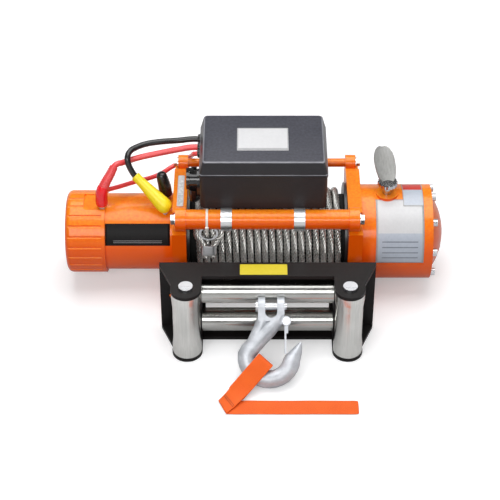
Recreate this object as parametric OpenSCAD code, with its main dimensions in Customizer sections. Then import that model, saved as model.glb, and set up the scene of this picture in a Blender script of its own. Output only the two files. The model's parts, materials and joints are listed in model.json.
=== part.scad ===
/* [Frame] */
// Clear width between the two brackets, where the drum turns
opening_w = 220; // [216:1:236]
// Thickness of each bracket's web
bracket_w = 19; // [17:1:24]
// Height of the drum's axis over the feet
axis_h = 76; // [75:1:84]
// Front face of the brackets, in front of the axis
bracket_front = 77; // [75:1:84]
// Distance between foot holes along the drum
foot_pitch_x = 254; // [250:1:256]
// Distance between foot holes front to back
foot_pitch_y = 114.3; // [110:0.1:118]
// Radius of a foot hole
foot_hole_r = 5.5; // [5:0.1:6]
// Height of a foot pad
foot_h = 18; // [17:1:20]
// Length of a foot pad along the drum
foot_len = 35; // [34:1:40]
// Width of the slot for a square nut
nut_w = 17.4; // [17:0.1:19]

/* [Tie bars] */
// Radius of the front tie bar
front_bar_r = 13.6; // [12:0.1:14.5]
// Radius of the rear tie bar
rear_bar_r = 6; // [5.5:0.1:8]
// Distance of both tie bars in front of and behind the axis
bar_y = 63.4; // [62:0.1:66]
// Height of both tie bars over the feet
bar_z = 148; // [146:1:154]
// Radius of a bracket's boss round the front bar
bar_boss_r = 16.5; // [16:0.5:18]
// Radius of a tie bar bolt
bar_bolt_r = 4; // [3:0.1:4.5]

/* [Drum and rope] */
// Radius of the drum's barrel
barrel_r = 32; // [31:1:36]
// Radius of the drum's flanges
flange_r = 68; // [66:1:72]
// Thickness of a drum flange
flange_w = 3.5; // [3:0.1:4]
// Diameter of the steel rope
rope_d = 9.5; // [9:0.1:9.5]
// Gap between neighbouring turns of the rope
turn_gap = 0.5; // [0.45:0.01:0.6]
// Outer radius of the wound rope
wound_r = 62; // [58:1:63]
// Radius of the drum's journals
journal_r = 22; // [21:0.5:24]

/* [Motor] */
// Radius of the motor's can
can_r = 53.2; // [52:0.1:56]
// Length of the motor's can
can_len = 94; // [90:1:110]
// Radius of the motor's end cap
cap_r = 57.3; // [56.5:0.1:61]
// Length of the end cap
cap_len = 55; // [52:1:66]
// Number of grooves round the end cap
cap_grooves = 24; // [20:1:26]
// Wall of the motor's can
can_wall = 5.5; // [4:0.1:6]

/* [Gearbox] */
// Radius of the gear housing
housing_r = 65.7; // [64.5:0.1:68]
// Length of the gear housing
housing_len = 89; // [88:1:101]
// Thickness of the end cover's rim
cover_rim = 9; // [8:0.5:12]
// Height of the end cover's dome
dome_h = 18; // [14:0.5:20]
// Number of end cover bolts
cover_bolts = 9; // [8:1:10]
// Tooth module of all the gears
tooth_module = 1.5; // [1.46:0.01:1.52]
// Width of a gear
gear_w = 12; // [11:0.5:12.5]

/* [Clutch] */
// Where the clutch lever stands, from the gear bracket's face
clutch_x = 36; // [33:1:38]
// Radius of the lever's stem
stem_r = 6.5; // [6.2:0.1:7]
// Radius of the lever's ribbed collar
collar_r = 13; // [12:0.5:15]
// Length of the lever's paddle
paddle_len = 66; // [55:1:72]
// Width of the lever's paddle
paddle_w = 28; // [24:1:30]
// Lift of the shift pin
pin_lift = 5; // [4.5:0.1:5.5]

/* [Control box] */
// Length of the control box
box_len = 171; // [165:1:180]
// Depth of the control box
box_depth = 114; // [112:1:118]
// Height of the box's base
box_h = 52; // [50:1:60]
// Height of the box's lid over the base
lid_h = 24.5; // [18:0.5:28]
// Wall of the box
box_wall = 3; // [2.5:0.1:4]
// Width of a strap that holds the box
strap_w = 15; // [12:1:18]

/* [Leads] */
// Radius of a thick lead
lead_r = 4.1; // [3.8:0.1:4.4]
// Radius of the thin lead
thin_lead_r = 3.2; // [2.8:0.1:3.4]

/* [Fairlead] */
// Length of the fairlead
fair_len = 290; // [280:1:300]
// Height of the fairlead
fair_h = 114.3; // [112:0.1:118]
// Thickness of the fairlead's plates
fair_t = 5; // [4.5:0.1:6]
// Depth of the fairlead's flanges at the middle
fair_depth = 28.6; // [27.5:0.1:30]
// Radius of a vertical roller
side_roller_r = 19.8; // [18.5:0.1:20]
// Radius of a horizontal roller
roller_r = 16; // [14:0.1:16.4]
// Half the height between the horizontal rollers' axes
roller_rise = 25.3; // [25:0.1:27]
// Distance between the fairlead's mounting holes
fair_pitch = 254; // [250:1:256]
// Radius of a fairlead mounting hole
fair_hole_r = 6.5; // [6:0.1:7]

/* [Hook] */
// Radius of the hook's round section
hook_r = 12; // [11:0.1:12.4]
// Radius of the hook's bowl, to the middle of the section
bowl_r = 30.3; // [29.5:0.1:31]
// Radius of the clevis pin
clevis_pin_r = 5; // [4.5:0.1:5.5]
// Gap between the clevis's ears
clevis_gap = 16; // [15:0.5:17]
// Width of the pull strap
web_w = 25; // [23:1:26]
// Thickness of the pull strap
web_t = 2; // [1.6:0.1:2.2]

/* [Hidden] */
$fn = 64;
over = 1;               // how far a cut runs past a face
near = 0.3;             // gap between pieces that move past each other
seat = 0.1;             // gap of a seat within one body
run = 0.05;             // running clearance of a journal or pin
tile = 0.2;             // overlap that joins parts of one piece

x_in = opening_w / 2;                   // inner faces of the brackets
x_out = x_in + bracket_w;               // outer faces of the brackets
x_cap = -(x_out + can_len);             // seam of the motor's end cap
x_end = x_cap - cap_len;                // far end of the motor
x_cover = x_out + housing_len;          // seam of the gearbox cover
rear_bolt_r = rear_bar_r / 2;
bolt_depth = 20;

web_drop = 2;
web_top = bar_z - web_drop;             // top of a bracket between its bosses
boss_cut = 5;                           // step in the outer face round a tie bar's bolt
rear_boss_r = 11;
foot_arch_r = 13;                       // arches between the feet, for bolts of the mounting plate
foot_arch_y = 18;
cover_bolt_r = 2.5;
cover_bolt_ring = 60;
cover_bolt_depth = 16;
cover_head_r = 5.2;
cover_head_h = 6;
cover_boss_r = 12;
cover_boss_len = 30;
shaft_end = 16;                         // length of shaft held by the cover's boss
pad_y = 40;                             // inner edge of a foot pad
bush_wall = 6;
bush_r = journal_r + bush_wall;
nut_z = 7;
nut_h = 8.5;

drum_side = near + seat;
rope_r = rope_d / 2;
coil_r = wound_r - rope_r;              // middle of the rope in its outer layer
pitch = rope_d + turn_gap;
rope_turns = floor((opening_w - 2 * (drum_side + flange_w + near) - rope_d) / pitch);
core_r = coil_r - rope_r - near;
barrel_bore = 27;
shaft_r = 8;
shaft_thin_r = 4.6;
hex_r = 6.5;

bearing_r = 12;
bearing_w = 7;
cap_corner = 8;
groove_r = 2;

ring_r = 56.4;
housing_bore = ring_r + seat;
sun_teeth = 12;
planet_teeth = 27;
ring_teeth = sun_teeth + 2 * planet_teeth;
addendum = 0.8 * tooth_module;
dedendum = tooth_module;
backlash = 0.3;
centre_r = tooth_module * (sun_teeth + planet_teeth) / 2;
carrier_r = 42;
carrier_w = 4;
planet_pin_r = 5;
stage_gap = 0.4;
gear_inset = 10;
stage_len = gear_w + carrier_w + 4 * stage_gap;
x_gear_3 = x_out + gear_inset;          // near face of the output stage's planets
x_gear_2 = x_gear_3 + stage_len;
x_gear_1 = x_gear_2 + stage_len;
stage_turn = 360 / 3;

hex_inset = 8;
journal_len = 16;
journal_bore = 14;
drum_wall = 6;
brake_x = 12;
brake_len = 40;
brake_r = 25;
armature_r = 34;
armature_slots = 12;
slot_w = 6;
slot_d = 8;
field_len = 66;
field_slot = 24;
brush_x = 22;
brush_w = 8;
brush_h = 14;
brush_len = 16;
brush_plate = 3;
commutator_r = 20;
commutator_len = 36;
cap_wall = 6;
groove_end = 4;
groove_out = 0.6;
pocket_len = 30;
pocket_w = 34;
pocket_y = -3;
pocket_r = 4;
pocket_d = 4;
stud_r = 3;
stud_len = 14;
stud_nut_h = 4;
nut_rise = 1;
stud_inset = 11;
can_studs = [[-x_out - stud_inset, -21], [-x_out - stud_inset, 8]];
cap_stud_in = 4;
cap_stud = [x_cap - cap_stud_in, -13.5];
boot_rise = 7.5;
boot_z = axis_h + can_r + boot_rise;
boot_r = 9;
boot_sit = 3;
boot_wall = 1.2;

washer_t = 1.6;
washer_rim = 5;
head_h = 5;
head_slim = 0.5;

ring_pocket_r = 52.4;
pin_r = 4;
stem_rise = 2.5;
stem_z = axis_h + housing_bore + stem_rise;
pin_in = 9;
pin_top = stem_z + pin_in;
clutch_boss_r = 15;
clutch_boss_h = 3;
neck_len = 16;
collar_z = axis_h + housing_r + neck_len;
collar_h = 7;
collar_ribs = 16;
rib_r = 1.4;
paddle_t = 6;
paddle_rise = 11;
paddle_turn = 2.5;
paddle_foot_r = 8;
paddle_share = 0.66;      // widest place of the paddle, as a share of its length

box_x = -91;
box_y = -52;
box_sink = 3.6;           // how far the box's floor lies under the front bar's top
box_z = bar_z + front_bar_r - box_sink;
box_corner = 8;
box_mid_x = box_x + box_len / 2;
box_mid_y = box_y + box_depth / 2;
lid_taper = 6;
lid_front = 1.5;          // how far the lid leans back at its front
lid_edge = 4;
contactor_len = 110;
contactor_w = 50;
contactor_h = 34;
strap_t = 2;
strap_places = [-55.5, 43];
socket_y = -26;
socket_rise = 30;
socket_z = box_z + socket_rise;
socket_r = 14;
socket_plate = 4;
socket_len = 14;
socket_step = 2.5;
socket_flange = 14;
socket_ear = 4;
cap_t = 4;
hinge_r = 2;
hinge_out = 5;
hinge_up = 1.5;
hinge_x = box_x - socket_plate - hinge_out;
hinge_z = socket_z + socket_r + hinge_up;
tail_r = 8.2;
tail_len = 16;

lead_rise = 43;
lead_z = box_z + lead_rise;
lead_steps = 3;
lead_out = 12;
black_y = 47;
thick_y = 28;
thin_y = 14;
// Places along the leads, from the motor bracket's outer face and the drum's axis
function from_motor(p) = [for (q = p) q + [-x_out, 0, axis_h]];
black_bends = from_motor([[6, 45, 124], [-18, 40, 125.5], [-36, 35.5, 125.5], [-50, 28, 125], [-58.5, 19, 124.5],
                          [-61.5, 11, 121], [-60.5, 6.5, 113.5], [-57, 3.5, 105]]);
thick_bends = from_motor([[7, 27, 122], [-24, 25, 116], [-44, 22.5, 112.5], [-58, 18.5, 110.5],
                          [-69, 12.5, 110.5], [-76, 7, 112]]);
thin_bends = from_motor([[31.5, 14.5, 124], [28.5, 20, 119.5], [27.5, 34, 109.5], [27, 50, 97], [25.2, 66, 84],
                         [21.5, 80, 70.5], [12, 84, 60.5], [-3, 79.5, 54], [-24, 58.5, 54], [-55, 31, 63],
                         [-77, 9, 71], [-88, -2, 75.5], [-94, -8.5, 78]]);
yellow_top = from_motor([[-52, 2, 96]])[0];
red_top = from_motor([[-80, 4, 110]])[0];
black_boot_top = from_motor([[-15.5, 10, 87.5]])[0];
boot_grip = 9;            // how far a lead reaches into its boot
red_knee = 20;
yellow_foot = [can_studs[0][0], can_studs[0][1], boot_z];
black_foot = [can_studs[1][0], can_studs[1][1], boot_z];
red_foot = [cap_stud[0], cap_stud[1], boot_z + nut_rise];
black_top_r = 7.4;

eye_turn = 23;
eye_inset = 30;
eye_x = eye_inset - x_in;
eye_out = 1;
eye_drop = 16;
eye_slim = 0.4;
eye_ring_r = 12;
ferrule_len = 14;
ferrule_r = 6;
thimble_w = 7;
thimble_t = 2;
thimble_r = eye_ring_r - rope_r;
eye_tail = 6;
leg_x = rope_r + near / 2;
eye_points = concat(
    [[-leg_x, -ferrule_len - eye_tail, 0], [-leg_x, 0, 0]],
    [for (k = [0:12], a = 225 - 270 * k / 12) [eye_ring_r * cos(a), eye_drop + eye_ring_r * sin(a), 0]],
    [[leg_x, 0, 0], [leg_x, -ferrule_len - ferrule_r / 2, 0]]);

fair_gap = 36;
fair_y = -(bracket_front + fair_gap);
fair_front = fair_y - fair_depth;
nose_x = 108.3;
nose_out = 52.5;
nose_y = fair_y - nose_out;
nose_rim = 0.6;
nose_r = side_roller_r + nose_rim;
nose_turn = 18;
roller_out = 22;
roller_y = fair_y - roller_out;
ear_in = 88.6;
ear_t = 4;
ear_depth = 35;
roller_half = ear_in - near;
window_h = 50;
window_x = 84;
side_pin_r = 7;
side_head_r = 9.5;
side_head_h = 4;
roller_pin_r = 6;
waist = 1.4;
roller_rim = 10;
roller_flare = 16;

hook_lean = 45;
hook_x = 4.5;
hook_width = 2 * hook_r;
ear_r = 12;
ear_w = 9.5;
bowl_u = -2.5;
bowl_v = -66.5;
hook_z = (bowl_r - bowl_v) * sin(hook_lean) + hook_r;
lean_drop = fair_h / 2 + roller_rise - hook_z;
hook_y = roller_y - sqrt(pow(ear_r + roller_r + near, 2) - pow(lean_drop, 2));
clevis_base = -20;
gap_foot = -15.5;
neck_half = 8;
// Places and radii along the hook's body: up the tip, round the bowl and up to each ear
hook_points = concat(
    [[39.6, -47.6, 0, 1.2], [38.6, -49.8, 0, 2.6], [36.8, -54, 0, 4.6], [34.6, -58.8, 0, 6.8],
     [31.6, -64.6, 0, 9], [28.6, -69.4, 0, 10.6]],
    [for (a = [-16:-12:-184]) [bowl_u + bowl_r * cos(a), bowl_v + bowl_r * sin(a), 0, hook_r]],
    [[-29.4, -58.6, 0, hook_r], [-22.4, -50.8, 0, 11.4], [-12, -40, 0, 11], [-2, -30, 0, 10.4], [5, -22, 0, 9.4],
     [12, -14, 0, 8]]);
branch_points = [[-25.4, -54, 0, 9.6], [-19.8, -41.6, 0, 9.4], [-15, -30, 0, 8.8], [-11.2, -18, 0, 8]];
latch_at = [20, -19.8];
lug_r = 6.3;
latch_relief_r = 9;
latch_pin_r = 2.5;
latch_reach = 43.5;
latch_cheek = 16;
latch_w = 14;
latch_t = 2.4;
pin_head_r = 7.5;
pin_head_h = 3;
web_at = [-7.3, -71.2];
web_angle = 228.7;

module rod_x(x, len, r, y = 0, z = axis_h) {
    translate([x, y, z]) rotate([0, 90, 0]) cylinder(h = len, r = r);
}

module rod_y(y, len, r, x, z) {
    translate([x, y, z]) rotate([-90, 0, 0]) cylinder(h = len, r = r);
}

module ring_x(x, len, outer, inner, y = 0, z = axis_h) {
    difference() {
        rod_x(x, len, outer, y, z);
        rod_x(x - over, len + 2 * over, inner, y, z);
    }
}

module hex_x(x, len, r, y = 0, z = axis_h) {
    translate([x, y, z]) rotate([0, 90, 0]) cylinder(h = len, r = r, $fn = 6);
}

module block(low, high) {
    translate(low) cube(high - low);
}

module rounded_block(low, high, r) {
    block([low[0] + r, low[1], low[2]], [high[0] - r, high[1], high[2]]);
    block([low[0], low[1] + r, low[2]], [high[0], high[1] - r, high[2]]);
    for (x = [low[0] + r, high[0] - r], y = [low[1] + r, high[1] - r])
        translate([x, y, low[2]]) cylinder(h = high[2] - low[2], r = r);
}

// A tube of n sides swept along points, closed by flat ends
function unit(v) = v / norm(v);
function tangent(p, i) = unit(p[min(i + 1, len(p) - 1)] - p[max(i - 1, 0)]);
function side_of(t) = unit(cross(t, abs(t[2]) < 0.9 ? [0, 0, 1] : [0, 1, 0]));
function frames(p) =
    [for (i = 0, s = side_of(tangent(p, 0)); i < len(p);
          i = i + 1, s = i < len(p) ? let(t = tangent(p, i)) unit(s - t * (s * t)) : s)
        [p[i], s, cross(tangent(p, i), s)]];
function tube_faces(rings, n) = concat(
    [for (i = [0:rings - 2], k = [0:n - 1]) each
        let(a = i * n + k, b = i * n + (k + 1) % n)
        [[a, b + n, b], [a, a + n, b + n]]],
    [for (k = [1:n - 2]) [0, k, k + 1]],
    [for (k = [1:n - 2]) (rings - 1) * n * [1, 1, 1] + [0, k + 1, k]]);

module tube(p, r, n) {
    polyhedron(
        points = [for (f = frames(p), k = [0:n - 1])
            f[0] + r * (f[1] * cos(360 * k / n) + f[2] * sin(360 * k / n))],
        faces = tube_faces(len(p), n));
}

// The same with a radius of its own at each point, as the fourth number
module shaped_tube(p, n) {
    line = frames([for (q = p) [q[0], q[1], q[2]]]);
    polyhedron(
        points = [for (i = [0:len(p) - 1], k = [0:n - 1])
            line[i][0] + p[i][3] * (line[i][1] * cos(360 * k / n) + line[i][2] * sin(360 * k / n))],
        faces = tube_faces(len(p), n));
}

// Points of a smooth curve through the given ones
function curve_at(a, b, c, d, t) =
    0.5 * ((2 * b) + (c - a) * t + (2 * a - 5 * b + 4 * c - d) * t * t
        + (3 * b - a - 3 * c + d) * t * t * t);
function smooth_route(p, steps) = concat(
    [for (i = [0:len(p) - 2], k = [0:steps - 1])
        curve_at(p[max(i - 1, 0)], p[i], p[i + 1], p[min(i + 2, len(p) - 1)], k / steps)],
    [p[len(p) - 1]]);

// Brackets, housings and tie bars
module bracket_side() {
    difference() {
        union() {
            translate([-bracket_front, 0]) square([2 * bracket_front, bar_z - bar_boss_r]);
            translate([-bar_y, bar_z - 2 * bar_boss_r])
                square([2 * bar_y, web_top - bar_z + 2 * bar_boss_r]);
            translate([-bar_y, bar_z]) circle(r = bar_boss_r);
            translate([bar_y, bar_z]) circle(r = rear_boss_r);
        }
        translate([0, axis_h]) circle(r = bush_r + seat / 2);
        translate([-bar_y, bar_z]) circle(r = bar_bolt_r + near);
        translate([bar_y, bar_z]) circle(r = rear_bolt_r + near);
        for (y = [-1, 1]) translate([y * foot_arch_y, 0]) circle(r = foot_arch_r);
    }
}

module bracket() {
    difference() {
        union() {
            translate([x_in, 0, 0]) rotate([90, 0, 90]) linear_extrude(height = bracket_w) bracket_side();
            for (y = [-bracket_front, pad_y])
                block([x_out - tile, y, 0], [x_in + foot_len, y + bracket_front - pad_y, foot_h]);
        }
        for (y = [-1, 1]) translate([foot_pitch_x / 2, y * foot_pitch_y / 2, 0]) {
            translate([0, 0, -over]) cylinder(h = foot_h, r = foot_hole_r);
            block([-nut_w / 2, -nut_w / 2, nut_z], [foot_len, nut_w / 2, nut_z + nut_h]);
        }
        for (b = [[-bar_y, bar_boss_r], [bar_y, rear_boss_r]])
            block([x_out - boss_cut, b[0] - b[1] - over, bar_z - b[1] - seat],
                  [x_out + over, b[0] + b[1] + over, bar_z + b[1] + over]);
    }
}

module motor_bracket() { color("orangered") mirror([1, 0, 0]) bracket(); }
module gear_bracket() { color("orangered") bracket(); }

module gear_housing() {
    color("orangered") difference() {
        union() {
            rod_x(x_out, housing_len, housing_r);
            translate([x_out + clutch_x, 0, axis_h]) cylinder(h = housing_r + clutch_boss_h, r = clutch_boss_r);
        }
        rod_x(x_out - over, housing_len + 2 * over, housing_bore);
        translate([x_out + clutch_x, 0, axis_h]) cylinder(h = 2 * housing_r, r = pin_r + run);
        translate([x_out + clutch_x, 0, stem_z]) cylinder(h = housing_r, r = stem_r + run);
        for (k = [0:cover_bolts - 1]) rotate_x(-k * 360 / cover_bolts)
            rod_x(x_cover - cover_bolt_depth, 2 * cover_bolt_depth, cover_bolt_r + seat,
                  0, axis_h + cover_bolt_ring);
    }
}

// Turns what stands over the drum's axis about that axis
module rotate_x(angle) {
    translate([0, 0, axis_h]) rotate([angle, 0, 0]) translate([0, 0, -axis_h]) children();
}

// Dome: a round cap of the given height over a flat rim
module gear_end_cover() {
    dome_base = cover_bolt_ring - cover_head_r - near;
    dome_ball = (dome_base * dome_base + dome_h * dome_h) / (2 * dome_h);
    color("orangered") difference() {
        union() {
            rod_x(x_cover, cover_rim, housing_r);
            translate([x_cover + cover_rim - tile, 0, axis_h]) rotate([0, 90, 0])
                rotate_extrude() intersection() {
                    translate([0, dome_h - dome_ball]) circle(r = dome_ball, $fn = 128);
                    square([dome_base, dome_h + tile]);
                }
            rod_x(x_cover - cover_boss_len, cover_boss_len + tile, cover_boss_r);
        }
        rod_x(x_cover - cover_boss_len - over, shaft_end + over + near, shaft_thin_r + run);
        for (k = [0:cover_bolts - 1]) rotate_x(-k * 360 / cover_bolts)
            rod_x(x_cover - over, 2 * cover_bolt_depth, cover_bolt_r + seat, 0, axis_h + cover_bolt_ring);
    }
}

module gear_cover_bolts() {
    color("silver") for (k = [0:cover_bolts - 1]) rotate_x(-k * 360 / cover_bolts) {
        rod_x(x_cover - cover_bolt_depth + seat, cover_bolt_depth + cover_rim - seat, cover_bolt_r,
              0, axis_h + cover_bolt_ring);
        difference() {
            rod_x(x_cover + cover_rim, cover_head_h, cover_head_r, 0, axis_h + cover_bolt_ring);
            hex_x(x_cover + cover_rim + cover_head_h / 2, cover_head_h, cover_bolt_r,
                  0, axis_h + cover_bolt_ring);
        }
    }
}

module tie_bar(y, r, bolt_r) {
    difference() {
        rod_x(-x_in, opening_w, r, y, bar_z);
        for (x = [-x_in - over, x_in - bolt_depth])
            rod_x(x, bolt_depth + over, bolt_r + run, y, bar_z);
    }
}

module front_tie_bar() { color("orangered") tie_bar(-bar_y, front_bar_r, bar_bolt_r); }
module rear_tie_bar() { color("orangered") tie_bar(bar_y, rear_bar_r, rear_bolt_r); }

module tie_bar_bolts() {
    color("silver") for (m = [0, 1], b = [[-bar_y, bar_bolt_r], [bar_y, rear_bolt_r]]) mirror([m, 0, 0]) {
        rod_x(x_in - bolt_depth + seat, bolt_depth + bracket_w - boss_cut, b[1], b[0], bar_z);
        rod_x(x_out - boss_cut, washer_t, b[1] + washer_rim, b[0], bar_z);
        hex_x(x_out - boss_cut + washer_t, head_h, 2 * b[1] - head_slim, b[0], bar_z);
    }
}

// Motor
module motor_can() {
    color("orangered") difference() {
        rod_x(x_cap, can_len, can_r);
        rod_x(x_cap - over, can_len - can_wall + over, can_r - can_wall);
        rod_x(-x_out - can_len / 2, can_len, bearing_r + seat / 2);
        for (s = can_studs) translate([s[0], s[1], axis_h]) cylinder(h = can_r + over, r = stud_r + seat);
    }
}

module motor_end_cap() {
    color("orangered") difference() {
        translate([x_end, 0, axis_h]) rotate([0, 90, 0]) rotate_extrude() union() {
            square([cap_r - cap_corner, cap_len]);
            translate([0, cap_corner]) square([cap_r, cap_len - cap_corner]);
            translate([cap_r - cap_corner, cap_corner]) circle(r = cap_corner, $fn = 48);
        }
        difference() {
            rod_x(x_end + cap_wall, cap_len, cap_r - cap_wall);
            rod_x(x_end, cap_wall + bearing_w + over, bearing_r + cap_wall);
        }
        rod_x(x_end + cap_wall, cap_len, bearing_r + seat / 2);
        for (k = [1:cap_grooves]) rotate_x(k * 360 / cap_grooves)
            rod_x(x_end - over, cap_len - groove_end, groove_r, 0, axis_h + cap_r + groove_out);
        rounded_block([x_cap - pocket_len, pocket_y - pocket_w / 2, axis_h + cap_r - pocket_d],
                      [x_cap + 2 * pocket_r, pocket_y + pocket_w / 2, axis_h + 2 * cap_r], pocket_r);
        translate([cap_stud[0], cap_stud[1], axis_h]) cylinder(h = cap_r, r = stud_r + seat);
    }
}

module motor_studs() {
    color("silver") {
        for (s = can_studs) stud(s, can_r, can_wall);
        stud(cap_stud, cap_r - pocket_d, cap_wall - pocket_d);
    }
}

// A stud's foot clears the wall's inside, and its nut the highest place under it
module stud(at, r, wall) {
    high_y = max(0, abs(at[1]) - 2 * stud_r);
    top = axis_h + sqrt(r * r - high_y * high_y);
    low_y = max(0, abs(at[1]) - stud_r);
    foot = axis_h + sqrt((r - wall) * (r - wall) - low_y * low_y) + near;
    translate([at[0], at[1], foot]) cylinder(h = top + stud_len - foot, r = stud_r);
    translate([at[0], at[1], top + nut_rise]) cylinder(h = stud_nut_h, r = 2 * stud_r, $fn = 6);
}

module bearings() {
    color("silver") {
        ring_x(-x_out - can_wall - seat, can_wall, bearing_r, shaft_r + run);
        ring_x(x_end + cap_wall, bearing_w, bearing_r, shaft_r + run);
        for (x = [-x_out, x_in]) ring_x(x, bracket_w, bush_r, journal_r + run);
    }
}

module field_coils() {
    inner = armature_r + 1.5 * near;
    outer = can_r - can_wall - seat;
    color("sienna") difference() {
        ring_x(x_cap + brush_x, field_len, outer, inner);
        for (turn = [0, 90]) rotate_x(turn)
            block([x_cap, -field_slot / 2, 0], [0, field_slot / 2, 2 * axis_h]);
    }
}

module motor_brushes() {
    outer = can_r - can_wall - seat;
    color("dimgray") {
        ring_x(x_cap + cap_corner - brush_plate, brush_plate, outer, commutator_r + brush_w);
        for (k = [0:3]) rotate_x(45 + 90 * k)
            block([x_cap - brush_len, -brush_w / 2, axis_h + commutator_r + near],
                  [x_cap + cap_corner, brush_w / 2, axis_h + commutator_r + brush_h]);
    }
}

module armature() {
    color("saddlebrown") difference() {
        rod_x(x_cap + brush_x, field_len, armature_r);
        rod_x(x_cap, 2 * field_len, shaft_r + seat / 2);
        for (k = [1:armature_slots]) rotate_x(k * 360 / armature_slots)
            block([x_cap, -slot_w / 2, axis_h + armature_r - slot_d],
                  [0, slot_w / 2, axis_h + 2 * armature_r]);
    }
}

module commutator() {
    color("peru") difference() {
        rod_x(x_cap - brush_len - cap_corner, commutator_len, commutator_r);
        rod_x(x_end, can_len, shaft_r + seat / 2);
        for (k = [1:armature_slots]) rotate_x(k * 360 / armature_slots)
            block([x_end, -slot_w / 6, axis_h + commutator_r - slot_d / 4],
                  [0, slot_w / 6, axis_h + 2 * commutator_r]);
    }
}

// Drum, rope and brake
module drum() {
    color("dimgray") difference() {
        union() {
            rod_x(-x_in + drum_side, opening_w - 2 * drum_side, barrel_r);
            for (x = [-x_in + drum_side, x_in - drum_side - flange_w]) rod_x(x, flange_w, flange_r);
            rod_x(-x_in - journal_len, opening_w + 2 * journal_len, journal_r);
        }
        rod_x(-x_in + drum_wall, opening_w - 2 * drum_wall, barrel_bore);
        rod_x(-x_in - journal_len - over, x_in, journal_bore);
        rod_x(0, x_out, journal_bore);
    }
}

module rope_core() {
    color("gray") ring_x(-x_in + drum_side + flange_w + seat, opening_w - 2 * (drum_side + flange_w + seat),
                         core_r, barrel_r + seat / 2);
}

wound_steps = 24;
wound_turn_share = 1 / wound_steps;
wound_start = -rope_turns * pitch / 2;
wound_points = [for (i = [0:rope_turns * wound_steps])
    let(turn = i * wound_turn_share)
    [wound_start + turn * pitch, coil_r * sin(360 * turn), axis_h - coil_r * cos(360 * turn)]];
wound_gap = min([for (i = [0:wound_steps], j = [wound_steps / 2:wound_steps * 3 / 2])
    norm(wound_points[i + j] - wound_points[i])]) - rope_d;
echo(wound_rope_least_gap = wound_gap);

module wound_rope() {
    first = wound_points[0];
    last = wound_points[len(wound_points) - 1];
    color("darkgray") tube(
        concat([first - [0, rope_d, 0]], wound_points, [last + [0, rope_d, 0]]), rope_r, 6);
}

// The end of the rope: an eye round a thimble, tied down on the front of the winding
module rope_eye() {
    color("darkgray") place_eye() {
        tube(eye_points, rope_r - eye_slim, 8);
        for (x = [-leg_x, leg_x])
            translate([x, 0, 0]) rotate([90, 0, 0]) cylinder(h = ferrule_len, r = ferrule_r);
        translate([-leg_x, -ferrule_len, -ferrule_r]) cube([2 * leg_x, ferrule_len, 2 * ferrule_r]);
    }
}

module place_eye() {
    rotate_x(-eye_turn) translate([eye_x, -(wound_r + near + rope_r + eye_out), axis_h])
        rotate([90, 0, 0]) children();
}

module rope_thimble() {
    color("silver") place_eye() difference() {
        translate([0, eye_drop, -thimble_w / 2]) cylinder(h = thimble_w, r = thimble_r);
        translate([0, eye_drop, -thimble_w]) cylinder(h = 2 * thimble_w, r = thimble_r - thimble_t);
    }
}

module drive_shaft() {
    color("slategray") {
        rod_x(x_end + cap_wall + near, -x_end - cap_wall - near - x_in + hex_inset, shaft_r);
        hex_x(-x_in + hex_inset - tile, opening_w - 2 * hex_inset + tile, hex_r);
        rod_x(x_in - hex_inset - tile, x_cover - cover_boss_len + shaft_end - x_in + hex_inset, shaft_thin_r);
        gear(x_gear_1, sun_teeth, 0);
    }
}

module brake_cone() {
    color("darkslategray") difference() {
        rod_x(-x_in + brake_x, brake_len, brake_r);
        hex_x(-x_in, brake_x + brake_len + over, hex_r + run);
        for (x = [1, 2])
            ring_x(-x_in + brake_x + x * brake_len / 3, groove_r, brake_r + over, brake_r - groove_r);
    }
}

// Gears, with straight-flanked teeth set out from an involute
pressure = 25;
function involute(a) = tan(a) * 180 / PI - a;
function flank(teeth, r, slack) =
    let(pitch_r = tooth_module * teeth / 2, base = pitch_r * cos(pressure))
    90 / teeth + involute(pressure) - (r > base ? involute(acos(base / r)) : 0)
    - slack / (2 * pitch_r) * 180 / PI;
function on_circle(r, a) = [r * cos(a), r * sin(a)];
function toothed(teeth, root, tip, slack) = [for (k = [0:teeth - 1], c = [360 * k / teeth]) each [
    on_circle(root, c - flank(teeth, root, slack)), on_circle(tip, c - flank(teeth, tip, slack)),
    on_circle(tip, c + flank(teeth, tip, slack)), on_circle(root, c + flank(teeth, root, slack))]];

// Angle 0 of a gear points along +Y, and angles grow towards +Z
module gear(x, teeth, turn, y = 0, z = 0) {
    pitch_r = tooth_module * teeth / 2;
    translate([x, y, axis_h + z]) rotate([90, 0, 90]) rotate([0, 0, turn])
        linear_extrude(height = gear_w)
            polygon(toothed(teeth, pitch_r - dedendum, pitch_r + addendum, backlash));
}

module planet(stage, k) {
    x = [x_gear_1, x_gear_2, x_gear_3][stage - 1];
    a = 90 + (k - 1) * stage_turn;
    color("silver") difference() {
        gear(x, planet_teeth, a + 180 - 180 / planet_teeth, centre_r * cos(a), centre_r * sin(a));
        rod_x(x - over, gear_w + 2 * over, planet_pin_r + run, centre_r * cos(a), axis_h + centre_r * sin(a));
    }
}

module ring_gear() {
    ring_pitch = tooth_module * ring_teeth / 2;
    x_start = x_gear_3 - stage_gap;
    ring_len = x_gear_1 + gear_w + stage_gap - x_start;
    color("gray") difference() {
        rod_x(x_start, ring_len, ring_r);
        translate([x_start - over, 0, axis_h]) rotate([90, 0, 90]) rotate([0, 0, 180 / ring_teeth])
            linear_extrude(height = ring_len + 2 * over)
                polygon(toothed(ring_teeth, ring_pitch - addendum, ring_pitch + dedendum, -backlash));
        translate([x_out + clutch_x, 0, axis_h + ring_pocket_r]) cylinder(h = ring_r, r = pin_r + near);
    }
}

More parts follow.
